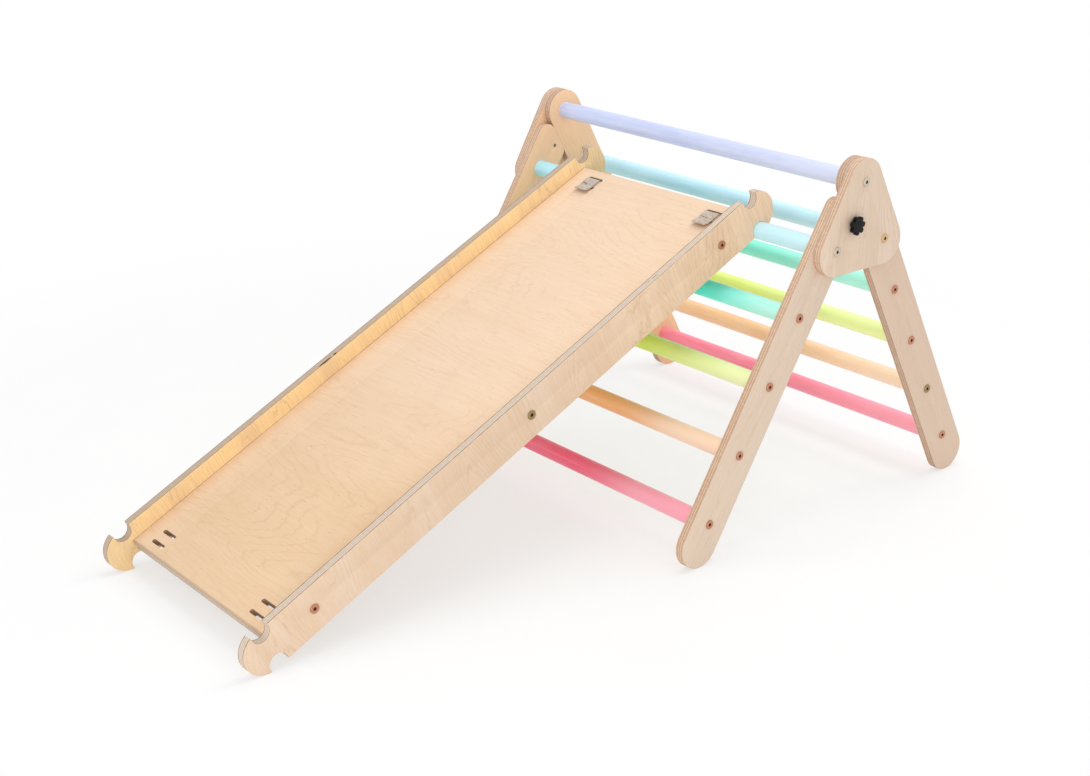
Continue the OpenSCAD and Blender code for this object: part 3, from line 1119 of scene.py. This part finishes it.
def baked(source: bpy.types.Object, name: str) -> bpy.types.Object:
    """Turns an object with its modifiers into a plain mesh piece.

    Args:
        source: The object with modifiers; it is removed.
        name: The plain piece's name.

    Returns:
        The plain piece.
    """
    graph = bpy.context.evaluated_depsgraph_get()
    mesh = bpy.data.meshes.new_from_object(source.evaluated_get(graph))
    bpy.data.objects.remove(source)
    mesh.name = name
    return new_object(name, mesh)


def smooth_by_angle(mesh: bpy.types.Mesh, angle: float = 35.0) -> None:
    """Shades a mesh smooth but for its sharp edges."""
    mesh.shade_smooth()
    mesh.set_sharp_from_angle(angle=math.radians(angle))


def eased_copy(node: str, name: str, radius: float, steps: int = 3,
               sharp: float = 50.0) -> bpy.types.Object:
    """A copy of a solid with its corners eased round.

    Args:
        node: The solid's name.
        name: The new piece's name.
        radius: How far each corner is rounded.
        steps: Faces across each rounding.
        sharp: The least corner, in degrees, that is rounded.

    Returns:
        The new piece, plain and in place.
    """
    mesh = bpy.data.objects[node].data.copy()
    mesh.name = name
    shape = bmesh.new()
    shape.from_mesh(mesh)
    # the solid's triangles become whole flat faces first
    bmesh.ops.remove_doubles(shape, verts=shape.verts, dist=2e-6)
    bmesh.ops.dissolve_limit(shape, angle_limit=math.radians(0.6), verts=shape.verts,
                             edges=shape.edges, use_dissolve_boundaries=False)
    shape.to_mesh(mesh)
    shape.free()
    piece = new_object(name + "_raw", mesh)
    ease = piece.modifiers.new("ease", "BEVEL")
    ease.width = radius
    ease.segments = steps
    ease.limit_method = "ANGLE"
    ease.angle_limit = math.radians(sharp)
    ease.use_clamp_overlap = True
    done = baked(piece, name)
    smooth_by_angle(done.data)
    return done


def bridge(shape: bmesh.types.BMesh, rings: Sequence[Sequence[bmesh.types.BMVert]]) -> None:
    """Joins each closed ring of points to the next one with a row of faces.

    Args:
        shape: The shape that has the points.
        rings: The rings, each with as many points as the others.
    """
    for low, high in zip(rings, rings[1:]):
        for step in range(len(low)):
            after = (step + 1) % len(low)
            shape.faces.new((low[step], low[after], high[after], high[step]))


def lathe(profile: Sequence[tuple[float, float, bool]], name: str,
          steps: int = 24) -> bpy.types.Mesh:
    """A closed turned shape about the X axis, whose inner rings may be six-sided.

    Args:
        profile: Radius, X and whether the ring is six-sided, from the back to the socket's floor.
        name: The mesh's name.
        steps: Points on each ring, a multiple of six.

    Returns:
        The mesh, about the origin.
    """
    shape = bmesh.new()
    rings = []
    for radius, x, hexed in profile:
        ring = []
        for step in range(steps):
            angle = 2 * math.pi * step / steps
            reach = radius
            if hexed:
                part = (angle + math.pi / 6) % (math.pi / 3) - math.pi / 6
                reach = radius / math.cos(part)
            ring.append(shape.verts.new((x, reach * math.cos(angle), reach * math.sin(angle))))
        rings.append(ring)
    bridge(shape, rings)
    shape.faces.new(list(reversed(rings[0])))
    shape.faces.new(rings[-1])
    mesh = meshed(shape, name)
    smooth_by_angle(mesh)
    return mesh


# ---------------------------------------------------------------- geometry trees


# angles in radians, then how finely a rod is drawn along and around
FULL_TURN = 6.28
PILE_LEAN = 0.7
ROD_RINGS = 96
ROD_SIDES = 40


def grown(name: str, group: NodeGroup, mesh: bpy.types.Mesh | None = None,
          **inputs: Any) -> bpy.types.Object:
    """Runs a geometry tree and bakes the result.

    Args:
        name: The finished piece's name.
        group: The geometry tree.
        mesh: What the tree starts from, if it starts from anything.
        **inputs: The tree's inputs by name.

    Returns:
        The finished piece.
    """
    host = new_object(name + "_host", mesh or bpy.data.meshes.new(name + "_host"))
    worker = host.modifiers.new("grow", "NODES")
    worker.node_group = tree = group.tree()
    for item in tree.interface.items_tree:
        if item.item_type == "SOCKET" and item.in_out == "INPUT" and item.name in inputs:
            worker[item.identifier] = inputs[item.name]
    return baked(host, name)


@geometry_tree("bolt_row", Bolt="Object", First="Vector", Step="Vector", Count="Int",
               Facing="Float", Seed="Int", Finish="Material")
def bolt_row_tree(r: Recipe, given: Outputs) -> Sequence[Socket]:
    """Bolts in a straight row, each turned at random about its own axis.

    Args:
        r: The group's recipe.
        given: The group's inputs.

    Returns:
        The finished geometry.
    """
    row = r.add("GeometryNodeMeshLine", named={
        "Count": given["Count"], "Start Location": given["First"], "Offset": given["Step"]})
    bolt = r.add("GeometryNodeObjectInfo", given["Bolt"], out="Geometry")
    spin = r.add("FunctionNodeRandomValue", named={
        2: 0.0, 3: FULL_TURN, "Seed": given["Seed"]}, out=1)
    turn = r.add("ShaderNodeCombineXYZ", spin, 0.0, given["Facing"])
    angle = r.add("FunctionNodeEulerToRotation", turn)
    put = r.add("GeometryNodeInstanceOnPoints", named={
        "Points": row, "Instance": bolt, "Rotation": angle})
    return r.finished(put, given["Finish"])


@geometry_tree("turned_rod", Length="Float", Radius="Float", Centre="Vector",
               Finish="Material")
def turned_rod_tree(r: Recipe, given: Outputs) -> Sequence[Socket]:
    """A round rod along X, drawn along a line, with the faint waves that turning leaves.

    Args:
        r: The group's recipe.
        given: The group's inputs.

    Returns:
        The finished geometry.
    """
    ahead = r.add("ShaderNodeCombineXYZ", r.math("MULTIPLY", given["Length"], 0.5), 0.0, 0.0)
    behind = r.stretch(ahead, -1.0, -1.0, -1.0)
    line = r.add("GeometryNodeCurvePrimitiveLine", named={
        0: r.vector("ADD", behind, given["Centre"]), 1: r.vector("ADD", ahead, given["Centre"])})
    line = r.add("GeometryNodeResampleCurve", named={"Curve": line, "Count": ROD_RINGS})
    wave = r.add("ShaderNodeTexNoise", named={"Scale": 26.0, "Detail": 1.0})
    wide = r.math("MULTIPLY_ADD", wave, 0.012, 0.993)
    line = r.add("GeometryNodeSetCurveRadius", named={"Curve": line, "Radius": wide})
    ring = r.add("GeometryNodeCurvePrimitiveCircle", named={
        "Resolution": ROD_SIDES, "Radius": given["Radius"]})
    rod = r.add("GeometryNodeCurveToMesh", named={
        "Curve": line, "Profile Curve": ring, "Fill Caps": True})
    return r.finished(rod, given["Finish"])


@geometry_tree("strap_pile", Density="Float", Loop="Float", Thread="Float", Seed="Int",
               Finish="Material")
def strap_pile_tree(r: Recipe, given: Outputs) -> Sequence[Socket]:
    """Short soft loops standing all over a strap, joined to the strap itself.

    Args:
        r: The group's recipe.
        given: The group's inputs.

    Returns:
        The finished geometry.
    """
    spots = r.add("GeometryNodeDistributePointsOnFaces", named={
        "Mesh": given["Geometry"], "Density": given["Density"], "Seed": given["Seed"]}, out=None)
    arc = r.add("GeometryNodeCurveArc", named={
        "Resolution": 5, "Radius": given["Loop"], "Start Angle": -0.35, "Sweep Angle": 3.8})
    thread = r.add("GeometryNodeCurvePrimitiveCircle", named={
        "Resolution": 3, "Radius": given["Thread"]})
    loop = r.add("GeometryNodeCurveToMesh", named={"Curve": arc, "Profile Curve": thread})
    stand = r.add("GeometryNodeTransform", named={
        "Geometry": loop, "Rotation": (math.pi / 2, 0.0, 0.0)})
    spin = r.add("FunctionNodeRandomValue", named={
        0: (-PILE_LEAN, -PILE_LEAN, 0.0), 1: (PILE_LEAN, PILE_LEAN, FULL_TURN),
        "Seed": given["Seed"]}, out=0, data_type="FLOAT_VECTOR")
    lean = r.add("FunctionNodeEulerToRotation", spin)
    turn = r.add("FunctionNodeRotateRotation", spots.outputs["Rotation"], lean,
                 rotation_space="LOCAL")
    size = r.add("FunctionNodeRandomValue", named={2: 0.6, 3: 1.3, "Seed": 7}, out=1)
    put = r.add("GeometryNodeInstanceOnPoints", named={
        "Points": spots.outputs["Points"], "Instance": stand, "Rotation": turn, "Scale": size})
    join = r.add("GeometryNodeJoinGeometry", out=None)
    r.tree.links.new(put, join.inputs[0])
    r.tree.links.new(given["Geometry"], join.inputs[0])
    return r.finished(join.outputs[0], given["Finish"])


# ---------------------------------------------------------------- sub-assemblies


class SubAssembly:
    """A group of pieces that is built together."""

    def put(self, piece: bpy.types.Object, body: str, slot: str, *nodes: str) -> None:
        """Hands a finished piece to the frame.

        Args:
            piece: The piece, in place.
            body: The moving body it rides on.
            slot: The record's material slot; not used.
            *nodes: The solids that it stands for.
        """
        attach(piece, body)
        if nodes:
            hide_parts(*nodes)
        LOG.info("%s rides on %s, %d faces", piece.name, body, len(piece.data.polygons))

    def sheet(self, node: str, body: str, finish: Plywood, radius: float = 0.0016) -> None:
        """Makes one plywood piece with eased corners.

        Args:
            node: The solid that it stands for.
            body: The moving body it rides on.
            finish: Its plywood.
            radius: How far its corners are rounded.
        """
        piece = eased_copy(node, "eased_" + node, radius)
        dress(piece, finish)
        self.put(piece, body, "plywood", node)


@dataclass
class Bolts(SubAssembly):
    """Flat-headed connector bolts with a hexagon socket.

    Attributes:
        head: Radius of the head.
        thick: Its thickness.
        shank: Radius of the shank.
        hold: How much of the shank is drawn, inside the wood.
        socket: Half the socket's width across its flats.
        deep: The socket's depth.
        master: The one bolt that every row repeats.
    """

    head: float = 0.0075
    thick: float = 0.002
    shank: float = 0.003
    hold: float = 0.008
    socket: float = 0.00262
    deep: float = 0.0029
    master: bpy.types.Object | None = None

    def cut_master(self) -> None:
        """Makes the one bolt that every row repeats, from its shank to its socket's floor."""
        h, t = self.head, self.thick
        mesh = lathe([
            (self.shank * 0.8, -self.hold, False), (self.shank, -self.hold + 0.0005, False),
            (self.shank, -0.00005, False), (h - 0.0002, 0.0, False), (h, 0.0002, False),
            (h, t * 0.55, False), (h - 0.00018, t * 0.8, False), (h - 0.0006, t * 0.96, False),
            (h - 0.0012, t, False), (self.socket + 0.0009, t, False),
            (self.socket + 0.00035, t - 0.00008, True), (self.socket, t - 0.0004, True),
            (self.socket, t - self.deep, True), (self.socket * 0.4, t - self.deep - 0.0004, False),
        ], "bolt_master")
        self.master = new_object("bolt_master", mesh)

    def row(self, name: str, first: Vector, step: Vector, count: int, side: Side,
            finish: Plating, seed: int) -> bpy.types.Object:
        """Makes a straight row of bolts.

        Args:
            name: The row's name.
            first: Where the first head bears.
            step: From one bolt to the next.
            count: How many bolts.
            side: The side that the heads face.
            finish: Their plating.
            seed: Fixes how the sockets are turned.

        Returns:
            The row as one piece.
        """
        return grown(name, bolt_row_tree, Bolt=self.master, First=first, Step=step,
                     Count=count, Facing=0.0 if side is Side.RIGHT else math.pi, Seed=seed,
                     Finish=finish.material())

    def clear(self) -> None:
        """Takes the master bolt away once the rows are made."""
        if self.master is not None:
            bpy.data.objects.remove(self.master)
            self.master = None


@dataclass
class Ladder(SubAssembly):
    """One ladder: two plywood legs, its rungs and its connector bolts.

    Attributes:
        name: The ladder's name, which is its moving body's too.
        finish: The legs' plywood.
        rungs: Each rung's solid and lacquer, from the top down.
        first: The top rung's axis, (y, z).
        down: Direction down the legs.
        pitch: From rung to rung.
        bolts_from: The first rung that connector bolts hold.
        face: How far from the middle the bolts' heads bear.
        rung_length: Length of a rung.
        rung_radius: Its radius.
    """

    name: str
    finish: Plywood
    rungs: dict[str, RodLacquer]
    first: tuple[float, float]
    down: Vector
    pitch: float
    bolts_from: int
    face: float
    rung_length: float = 0.700
    rung_radius: float = 0.015

    def build(self, bolts: Bolts) -> None:
        """Builds the ladder.

        Args:
            bolts: Makes the rows of connector bolts.
        """
        step = self.down * self.pitch
        for side in Side:
            self.sheet(f"{self.name}_leg_{side.word}", self.name, self.finish)
            start = Vector((side.value * self.face, *self.first)) + step * self.bolts_from
            row = bolts.row(f"heads_{self.name}_{side.word}", start, step,
                            len(self.rungs) - self.bolts_from, side, BRONZE, 11 + side.value)
            self.put(row, self.name, "bolt_bronze", f"{self.name}_bolts_{side.word}")
        for place, (node, lacquer) in enumerate(self.rungs.items()):
            rod = grown("turned_" + node, turned_rod_tree, Length=self.rung_length,
                        Radius=self.rung_radius, Finish=lacquer.material(),
                        Centre=Vector((0.0, *self.first)) + step * place)
            smooth_by_angle(rod.data)
            self.put(rod, self.name, "rung_" + node.split("_")[-1], node)


@dataclass
class Gussets(SubAssembly):
    """The triangular plates over the joint, with their bolts, inserts and locking knobs.

    Attributes:
        face: How far from the middle the bolts' heads bear.
        knob_round: How far the knobs' corners are rounded.
    """

    face: float = 0.380
    knob_round: float = 0.0012

    def build(self, bolts: Bolts) -> None:
        """Builds both sides.

        Args:
            bolts: Makes the bolts' heads.
        """
        for side in Side:
            word = side.word
            self.sheet(f"gusset_{word}", "back", GUSSET_PLY)
            top = Vector((side.value * self.face, *VIEW.top))
            pair = bolts.row(f"heads_gusset_{word}", top, VIEW.back_down() * VIEW.back_pitch, 2,
                             side, BRASS, 5 + side.value)
            self.put(pair, "back", "bolt_brass", f"gusset_bolts_{word}")
            pivot = Vector((side.value * self.face, *VIEW.pivot))
            single = bolts.row(f"head_pivot_{word}", pivot, Vector((0, 0, 1)), 1, side, BRASS, 3)
            self.put(single, "front", "bolt_brass", f"pivot_bolt_{word}")
            knob = eased_copy(f"knob_{word}", f"moulded_knob_{word}", self.knob_round, 4, 30.0)
            dress(knob, KNOB_PLASTIC)
            self.put(knob, f"knob_{word}", "knob_plastic", f"knob_{word}")
            for node in (f"stud_{word}", f"insert_{word}"):
                dress(bpy.data.objects[node], ZINC)


@dataclass
class Strap(SubAssembly):
    """One hook-and-loop strap: round the rung, up through both slots, closed on the board.

    Places on the ramp are (u, v) from the rung's axis, down the ramp and off it.

    Attributes:
        side: The side of the ramp that it is on.
        middle: How far its middle is from the ramp's.
        width: Its width.
        thick: Its thickness.
        deck: The board's top, v.
        low: The board's underside, v.
        slot_in: Middle of the upper slot, u.
        slot_gap: From the upper slot to the lower one.
        ring: Radius of its middle line round the rung.
        tail: Its loose end, u.
        lift: How far the loose end curls off the board.
        flat: The share of the tail that doesn't curl.
        lean: How far the strap is off the slots' middles.
        columns: Faces across it.
        patch: Thickness of the closing patch.
        patch_length: Its length.
        patch_corner: How far its free corner is rounded.
        patch_sink: How far its other side sinks into the strap.
        fray: Unevenness of the weave.
        pile: Loops on a square metre.
        loop: Radius of a loop.
        thread: Radius of its thread.
    """

    side: Side
    middle: float = 0.148
    width: float = 0.031
    thick: float = 0.0018
    deck: float = 0.0385
    low: float = 0.0235
    slot_in: float = 0.026
    slot_gap: float = 0.0225
    ring: float = 0.0163
    tail: float = 0.0645
    lift: float = 0.0042
    flat: float = 0.52
    lean: float = 0.0022
    columns: int = 16
    patch: float = 0.0011
    patch_length: float = 0.0175
    patch_corner: float = 0.0052
    patch_sink: float = 0.0011
    fray: float = 0.00006
    pile: float = 420000.0
    loop: float = 0.00042
    thread: float = 0.00007

    def path(self) -> list[tuple[float, float]]:
        """The strap's middle line.

        Returns:
            Points (u, v), from the end under the closure to the loose end.
        """
        half = self.thick / 2
        one, two = self.slot_in, self.slot_in + self.slot_gap
        under, over, below = self.deck + half, self.deck + half + self.thick, self.low - half
        down, up = two - self.lean, one + self.lean
        # under the closure and down through the lower slot
        line = [(one + 0.0055, under), (one + 0.012, under), (down - 0.004, under),
                (down - 0.0008, under - 0.0006), (down, under - 0.003),
                (down, self.low + 0.004), (down, self.low + 0.001), (down - 0.0012, below)]
        # round the rung
        start = math.atan2(below, two) - math.acos(self.ring / math.hypot(two, below))
        end = math.atan2(below, one) + math.acos(self.ring / math.hypot(one, below)) - math.tau
        steps = 26
        for step in range(steps + 1):
            angle = start + (end - start) * step / steps
            line.append((self.ring * math.cos(angle), self.ring * math.sin(angle)))
        # up through the upper slot and over the closure
        line += [(one - 0.0012, below), (one - self.lean * 0.6, self.low + 0.001),
                 (up, self.deck - 0.001), (up, over - 0.0022),
                 (up + 0.0009, over - 0.0003), (up + 0.003, over)]
        steps = 12
        for step in range(1, steps + 1):
            share = step / steps
            u = up + 0.003 + (self.tail - up - 0.003) * share
            rise = max(0.0, (share - self.flat) / (1.0 - self.flat))
            line.append((u, over + self.lift * rise * rise))
        return line

    def build(self) -> None:
        """Sews and places the strap."""
        middle = self.side.value * self.middle
        shape = bmesh.new()
        self.ribbon(shape, self.dense(self.path()), middle, self.width, self.thick)
        over = self.deck + self.thick * 2 + 0.0006
        start = self.slot_in + self.lean
        patch = [(start + 0.0016, over - 0.0008), (start + 0.005, over),
                 (start + 0.0115, over), (start + 0.0155, over + 0.0006),
                 (start + self.patch_length, over + 0.0008)]
        first = len(shape.verts)
        self.ribbon(shape, self.dense(patch), middle, self.width - 0.0016, self.patch)
        shape.verts.ensure_lookup_table()
        self.round_patch(shape.verts[first:], middle, start)
        mesh = meshed(shape, "strap_plain_" + self.side.word)
        smooth_by_angle(mesh, 60.0)
        strap = grown("strap_sewn_" + self.side.word, strap_pile_tree, mesh,
                      Density=self.pile, Loop=self.loop, Thread=self.thread,
                      Seed=20 + self.side.value, Finish=WEBBING.material())
        self.put(strap, "ramp", "strap_webbing", "strap_" + self.side.word)

    def round_patch(self, points: Sequence[bmesh.types.BMVert], middle: float,
                    start: float) -> None:
        """Rounds the closing patch's free corner and lets its other side sink into the strap.

        Args:
            points: The patch's points.
            middle: Where the strap's middle is across the ramp.
            start: Where the patch starts along the ramp.
        """
        down, up = VIEW.ramp_down(), VIEW.ramp_up()
        origin = VIEW.on_ramp(0.0, 0.0, 0.0)
        for point in points:
            u = (point.co - origin).dot(down) - start
            side = (point.co.x - middle) / (self.width / 2)
            corner = max(0.0, -side - 0.45) / 0.55
            pull = self.patch_corner * (1 - math.sqrt(max(0.0, 1 - min(1.0, corner) ** 2)))
            sink = self.patch_sink * min(1.0, max(0.0, (side + 0.35) / 0.7))
            point.co -= down * pull * max(0.0, u) / self.patch_length
            point.co -= up * sink

    @staticmethod
    def dense(line: Sequence[tuple[float, float]], gap: float = 0.0011) -> list[Vector]:
        """Rounds a broken line's corners and spaces its points evenly.

        Args:
            line: Points (u, v).
            gap: Wanted distance between points.

        Returns:
            The finer line.
        """
        points = [Vector((u, v, 0.0)) for u, v in line]
        for _ in range(2):
            cut = [points[0]]
            for here, after in zip(points, points[1:]):
                cut += [here.lerp(after, 0.25), here.lerp(after, 0.75)]
            points = cut + [points[-1]]
        even = [points[0]]
        for point in points[1:]:
            while (point - even[-1]).length >= gap:
                even.append(even[-1] + (point - even[-1]).normalized() * gap)
        return even

    def ribbon(self, shape: bmesh.types.BMesh, line: Sequence[Vector], middle: float,
               width: float, thick: float) -> None:
        """Draws a soft-edged band along a line.

        Args:
            shape: The mesh that the band is added to.
            line: The band's middle line, (u, v).
            middle: Where its middle is across the ramp.
            width: Its width.
            thick: Its thickness.
        """
        chance = random.Random(31 + self.side.value)
        rows = []
        for index, point in enumerate(line):
            before, after = line[max(0, index - 1)], line[min(len(line) - 1, index + 1)]
            ahead = (after - before).normalized()
            normal = Vector((-ahead.y, ahead.x, 0.0))
            row = []
            for across, out in self.section(width, thick):
                fray = chance.uniform(-1.0, 1.0) * self.fray
                at = point + normal * (out + fray)
                row.append(shape.verts.new(VIEW.on_ramp(middle + across, at.x, at.y)))
            rows.append(row)
        bridge(shape, rows)
        shape.faces.new(rows[0])
        shape.faces.new(list(reversed(rows[-1])))

    def section(self, width: float, thick: float) -> list[tuple[float, float]]:
        """The band's cross-section, a flat oval with soft edges.

        Args:
            width: The band's width.
            thick: Its thickness.

        Returns:
            Points (across, out) round it.
        """
        half, out = width / 2, thick / 2
        top = []
        for step in range(self.columns + 1):
            share = -1 + 2 * step / self.columns
            edge = max(0.0, (abs(share) - 0.93) / 0.07)
            top.append((share * half, out * math.sqrt(max(0.0, 1 - edge ** 2 * 0.8))))
        return top + [(x, -y) for x, y in reversed(top)]


@dataclass
class RampPieces(SubAssembly):
    """The ramp: two hooked rails, the board between them, its bolts and its straps.

    Attributes:
        face: How far from the middle the bolts' heads bear.
        first_bolt: The first bolt, u.
        bolt_step: From bolt to bolt.
        rail_mid: The bolts' axis, v.
    """

    face: float = 0.215
    first_bolt: float = 0.0835
    bolt_step: float = 0.4405
    rail_mid: float = 0.031

    def build(self, bolts: Bolts) -> None:
        """Builds the ramp.

        Args:
            bolts: Makes the rows of bolts in the rails.
        """
        self.sheet("ramp_board", "ramp", BOARD_PLY, 0.0009)
        for side in Side:
            word = side.word
            self.sheet(f"ramp_rail_{word}", "ramp",
                       RAIL_PLY if side is Side.RIGHT else FAR_RAIL_PLY)
            first = VIEW.on_ramp(side.value * self.face, self.first_bolt, self.rail_mid)
            row = bolts.row(f"heads_ramp_{word}", first, VIEW.ramp_down() * self.bolt_step, 3,
                            side, BRONZE, 8 + side.value)
            self.put(row, "ramp", "bolt_bronze", f"ramp_bolts_{word}")
            Strap(side).build()


# ---------------------------------------------------------------- studio


@dataclass(frozen=True)
class Lamp:
    """A soft square lamp.

    Attributes:
        name: The lamp's name.
        place: Where it hangs.
        size: Length of its side.
        watts: Its power.
        aim: What it points at.
    """

    name: str
    place: tuple[float, float, float]
    size: float
    watts: float
    aim: tuple[float, float, float] = (0.0, 0.0, 0.2)

    def hang(self) -> None:
        """Hangs the lamp."""
        light = bpy.data.lights.new(self.name, "AREA")
        light.shape = "SQUARE"
        light.size = self.size
        light.energy = self.watts
        lamp = new_object(self.name, light)
        lamp.location = self.place
        away = Vector(self.place) - Vector(self.aim)
        lamp.rotation_euler = away.to_track_quat("Z", "Y").to_euler()


@dataclass
class Studio:
    """A pale floor, soft lamps and the camera.

    Attributes:
        floor_half: Half the floor's width.
        glow_near: Share of the floor's own glow close to the part, where it keeps shadows.
        glow_far: The same far from it.
        world: Strength of the soft light all round.
        eye: Where the camera is.
        azimuth: Its bearing in degrees, from -Y towards +X.
        elevation: Its height over the horizon in degrees.
        roll: Its roll in degrees.
        focal_px: Focal length in pixels of the photograph.
        frame_px: Width of the photograph in pixels.
        sensor: Width of the camera's sensor in millimetres.
        lamps: The lamps.
    """

    floor_half: float = 30.0
    glow_near: float = 0.60
    glow_far: float = 1.0
    world: float = 0.68
    eye: tuple[float, float, float] = (2.04614, -1.67410, 1.21115)
    azimuth: float = 50.3065
    elevation: float = 20.8121
    roll: float = 0.0681
    focal_px: float = 1684.42
    frame_px: float = 1090.0
    sensor: float = 36.0
    lamps: tuple[Lamp, ...] = field(default_factory=lambda: (
        Lamp("lamp_over", (0.0, 0.1, 2.8), 1.2, 13.5),
        Lamp("lamp_over_back", (0.3, 1.6, 2.4), 1.2, 15.5),
        Lamp("lamp_right", (2.6, -2.2, 1.7), 1.0, 10.5),
        Lamp("lamp_low", (2.1, -2.3, 0.45), 0.8, 14.0),
        Lamp("lamp_front", (0.9, -3.6, 1.2), 0.9, 12.5),
        Lamp("lamp_left", (-2.6, -2.0, 0.6), 1.0, 7.0),
    ))

    def build(self) -> None:
        """Lays the floor, hangs the lamps and sets the camera."""
        scene = bpy.context.scene
        scene.view_settings.view_transform = "Standard"
        self.lay_floor()
        self.fill_world()
        for lamp in self.lamps:
            lamp.hang()
        self.set_camera()

    @staticmethod
    def seen(r: Recipe) -> Socket:
        """Which rays see the backdrop as a plain pale one.

        Args:
            r: The recipe of the floor or the world.

        Returns:
            One for the camera's, mirrored and transmitted rays, zero for the others.
        """
        rays = r.add("ShaderNodeLightPath", out=None).outputs
        both = r.math("MAXIMUM", rays["Is Camera Ray"], rays["Is Glossy Ray"])
        return r.math("MAXIMUM", both, rays["Is Transmission Ray"])

    def lay_floor(self) -> None:
        """Lays the pale floor, which keeps the shadows."""
        shape = bmesh.new()
        bmesh.ops.create_grid(shape, x_segments=2, y_segments=2, size=self.floor_half)
        mesh = bpy.data.meshes.new("studio_floor")
        shape.to_mesh(mesh)
        shape.free()
        floor = new_object("studio_floor", mesh)
        made = bpy.data.materials.new("pale_floor")
        made.use_nodes = True
        r = Recipe(made.node_tree)
        spot = r.add("ShaderNodeTexCoord", out="Object")
        cloud = r.ramp(r.noise(spot, 6.0, 4.0), 0.3, 0.7)
        colour = r.mix(cloud, tint(249, 249, 250), tint(251, 251, 251))
        paint = r.add("ShaderNodeBsdfDiffuse", colour)
        glow = r.add("ShaderNodeEmission", (1.0, 1.0, 1.0, 1.0), 1.0)
        glow_share = r.ramp(r.far(spot), 0.8, 1.9, self.glow_near, self.glow_far)
        share = r.math("MULTIPLY", self.seen(r), glow_share)
        both = r.add("ShaderNodeMixShader", share, paint, glow)
        r.add("ShaderNodeOutputMaterial", both, out=None)
        mesh.materials.append(made)

    def fill_world(self) -> None:
        """Fills the room with soft light and gives it a white backdrop."""
        world = bpy.data.worlds.new("soft_room")
        bpy.context.scene.world = world
        world.use_nodes = True
        r = Recipe(world.node_tree)
        strength = r.add("ShaderNodeMapRange", self.seen(r), 0.0, 1.0, self.world, 1.0)
        back = r.add("ShaderNodeBackground", (1.0, 1.0, 1.0, 1.0), strength)
        r.add("ShaderNodeOutputWorld", back, out=None)

    def set_camera(self) -> None:
        """Sets the camera at the photograph's viewpoint."""
        across, rise = math.radians(self.azimuth), math.radians(self.elevation)
        back = Vector((math.sin(across) * math.cos(rise), -math.cos(across) * math.cos(rise),
                       math.sin(rise)))
        right = Vector((math.cos(across), math.sin(across), 0.0))
        up = back.cross(right)
        c, s = math.cos(math.radians(self.roll)), math.sin(math.radians(self.roll))
        axes = Matrix((c * right + s * up, -s * right + c * up, back)).transposed()
        data = bpy.data.cameras.new("camera")
        data.sensor_fit = "HORIZONTAL"
        data.sensor_width = self.sensor
        data.lens = self.focal_px * self.sensor / self.frame_px
        data.clip_end = 200.0
        camera = new_object("camera", data)
        camera.matrix_world = Matrix.Translation(self.eye) @ axes.to_4x4()
        bpy.context.scene.camera = camera


# ---------------------------------------------------------------- making


def main() -> None:
    """Builds every sub-assembly round the frame and sets the studio."""
    logging.basicConfig(level=logging.INFO, format="%(name)s: %(message)s")
    for thing in list(bpy.data.objects):
        bpy.data.objects.remove(thing)
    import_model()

    Studio().build()
    bolts = Bolts()
    bolts.cut_master()
    Ladder("back", BACK_LEG_PLY, BACK_RUNGS, first=VIEW.top, down=VIEW.back_down(),
           pitch=VIEW.back_pitch, bolts_from=2, face=0.365).build(bolts)
    Ladder("front", FRONT_LEG_PLY, FRONT_RUNGS, first=VIEW.pivot, down=VIEW.front_down(),
           pitch=VIEW.front_pitch, bolts_from=1, face=0.3647).build(bolts)
    Gussets().build(bolts)
    RampPieces().build(bolts)
    bolts.clear()

    LOG.info("all pieces are in place")


if __name__ == "__main__":
    main()
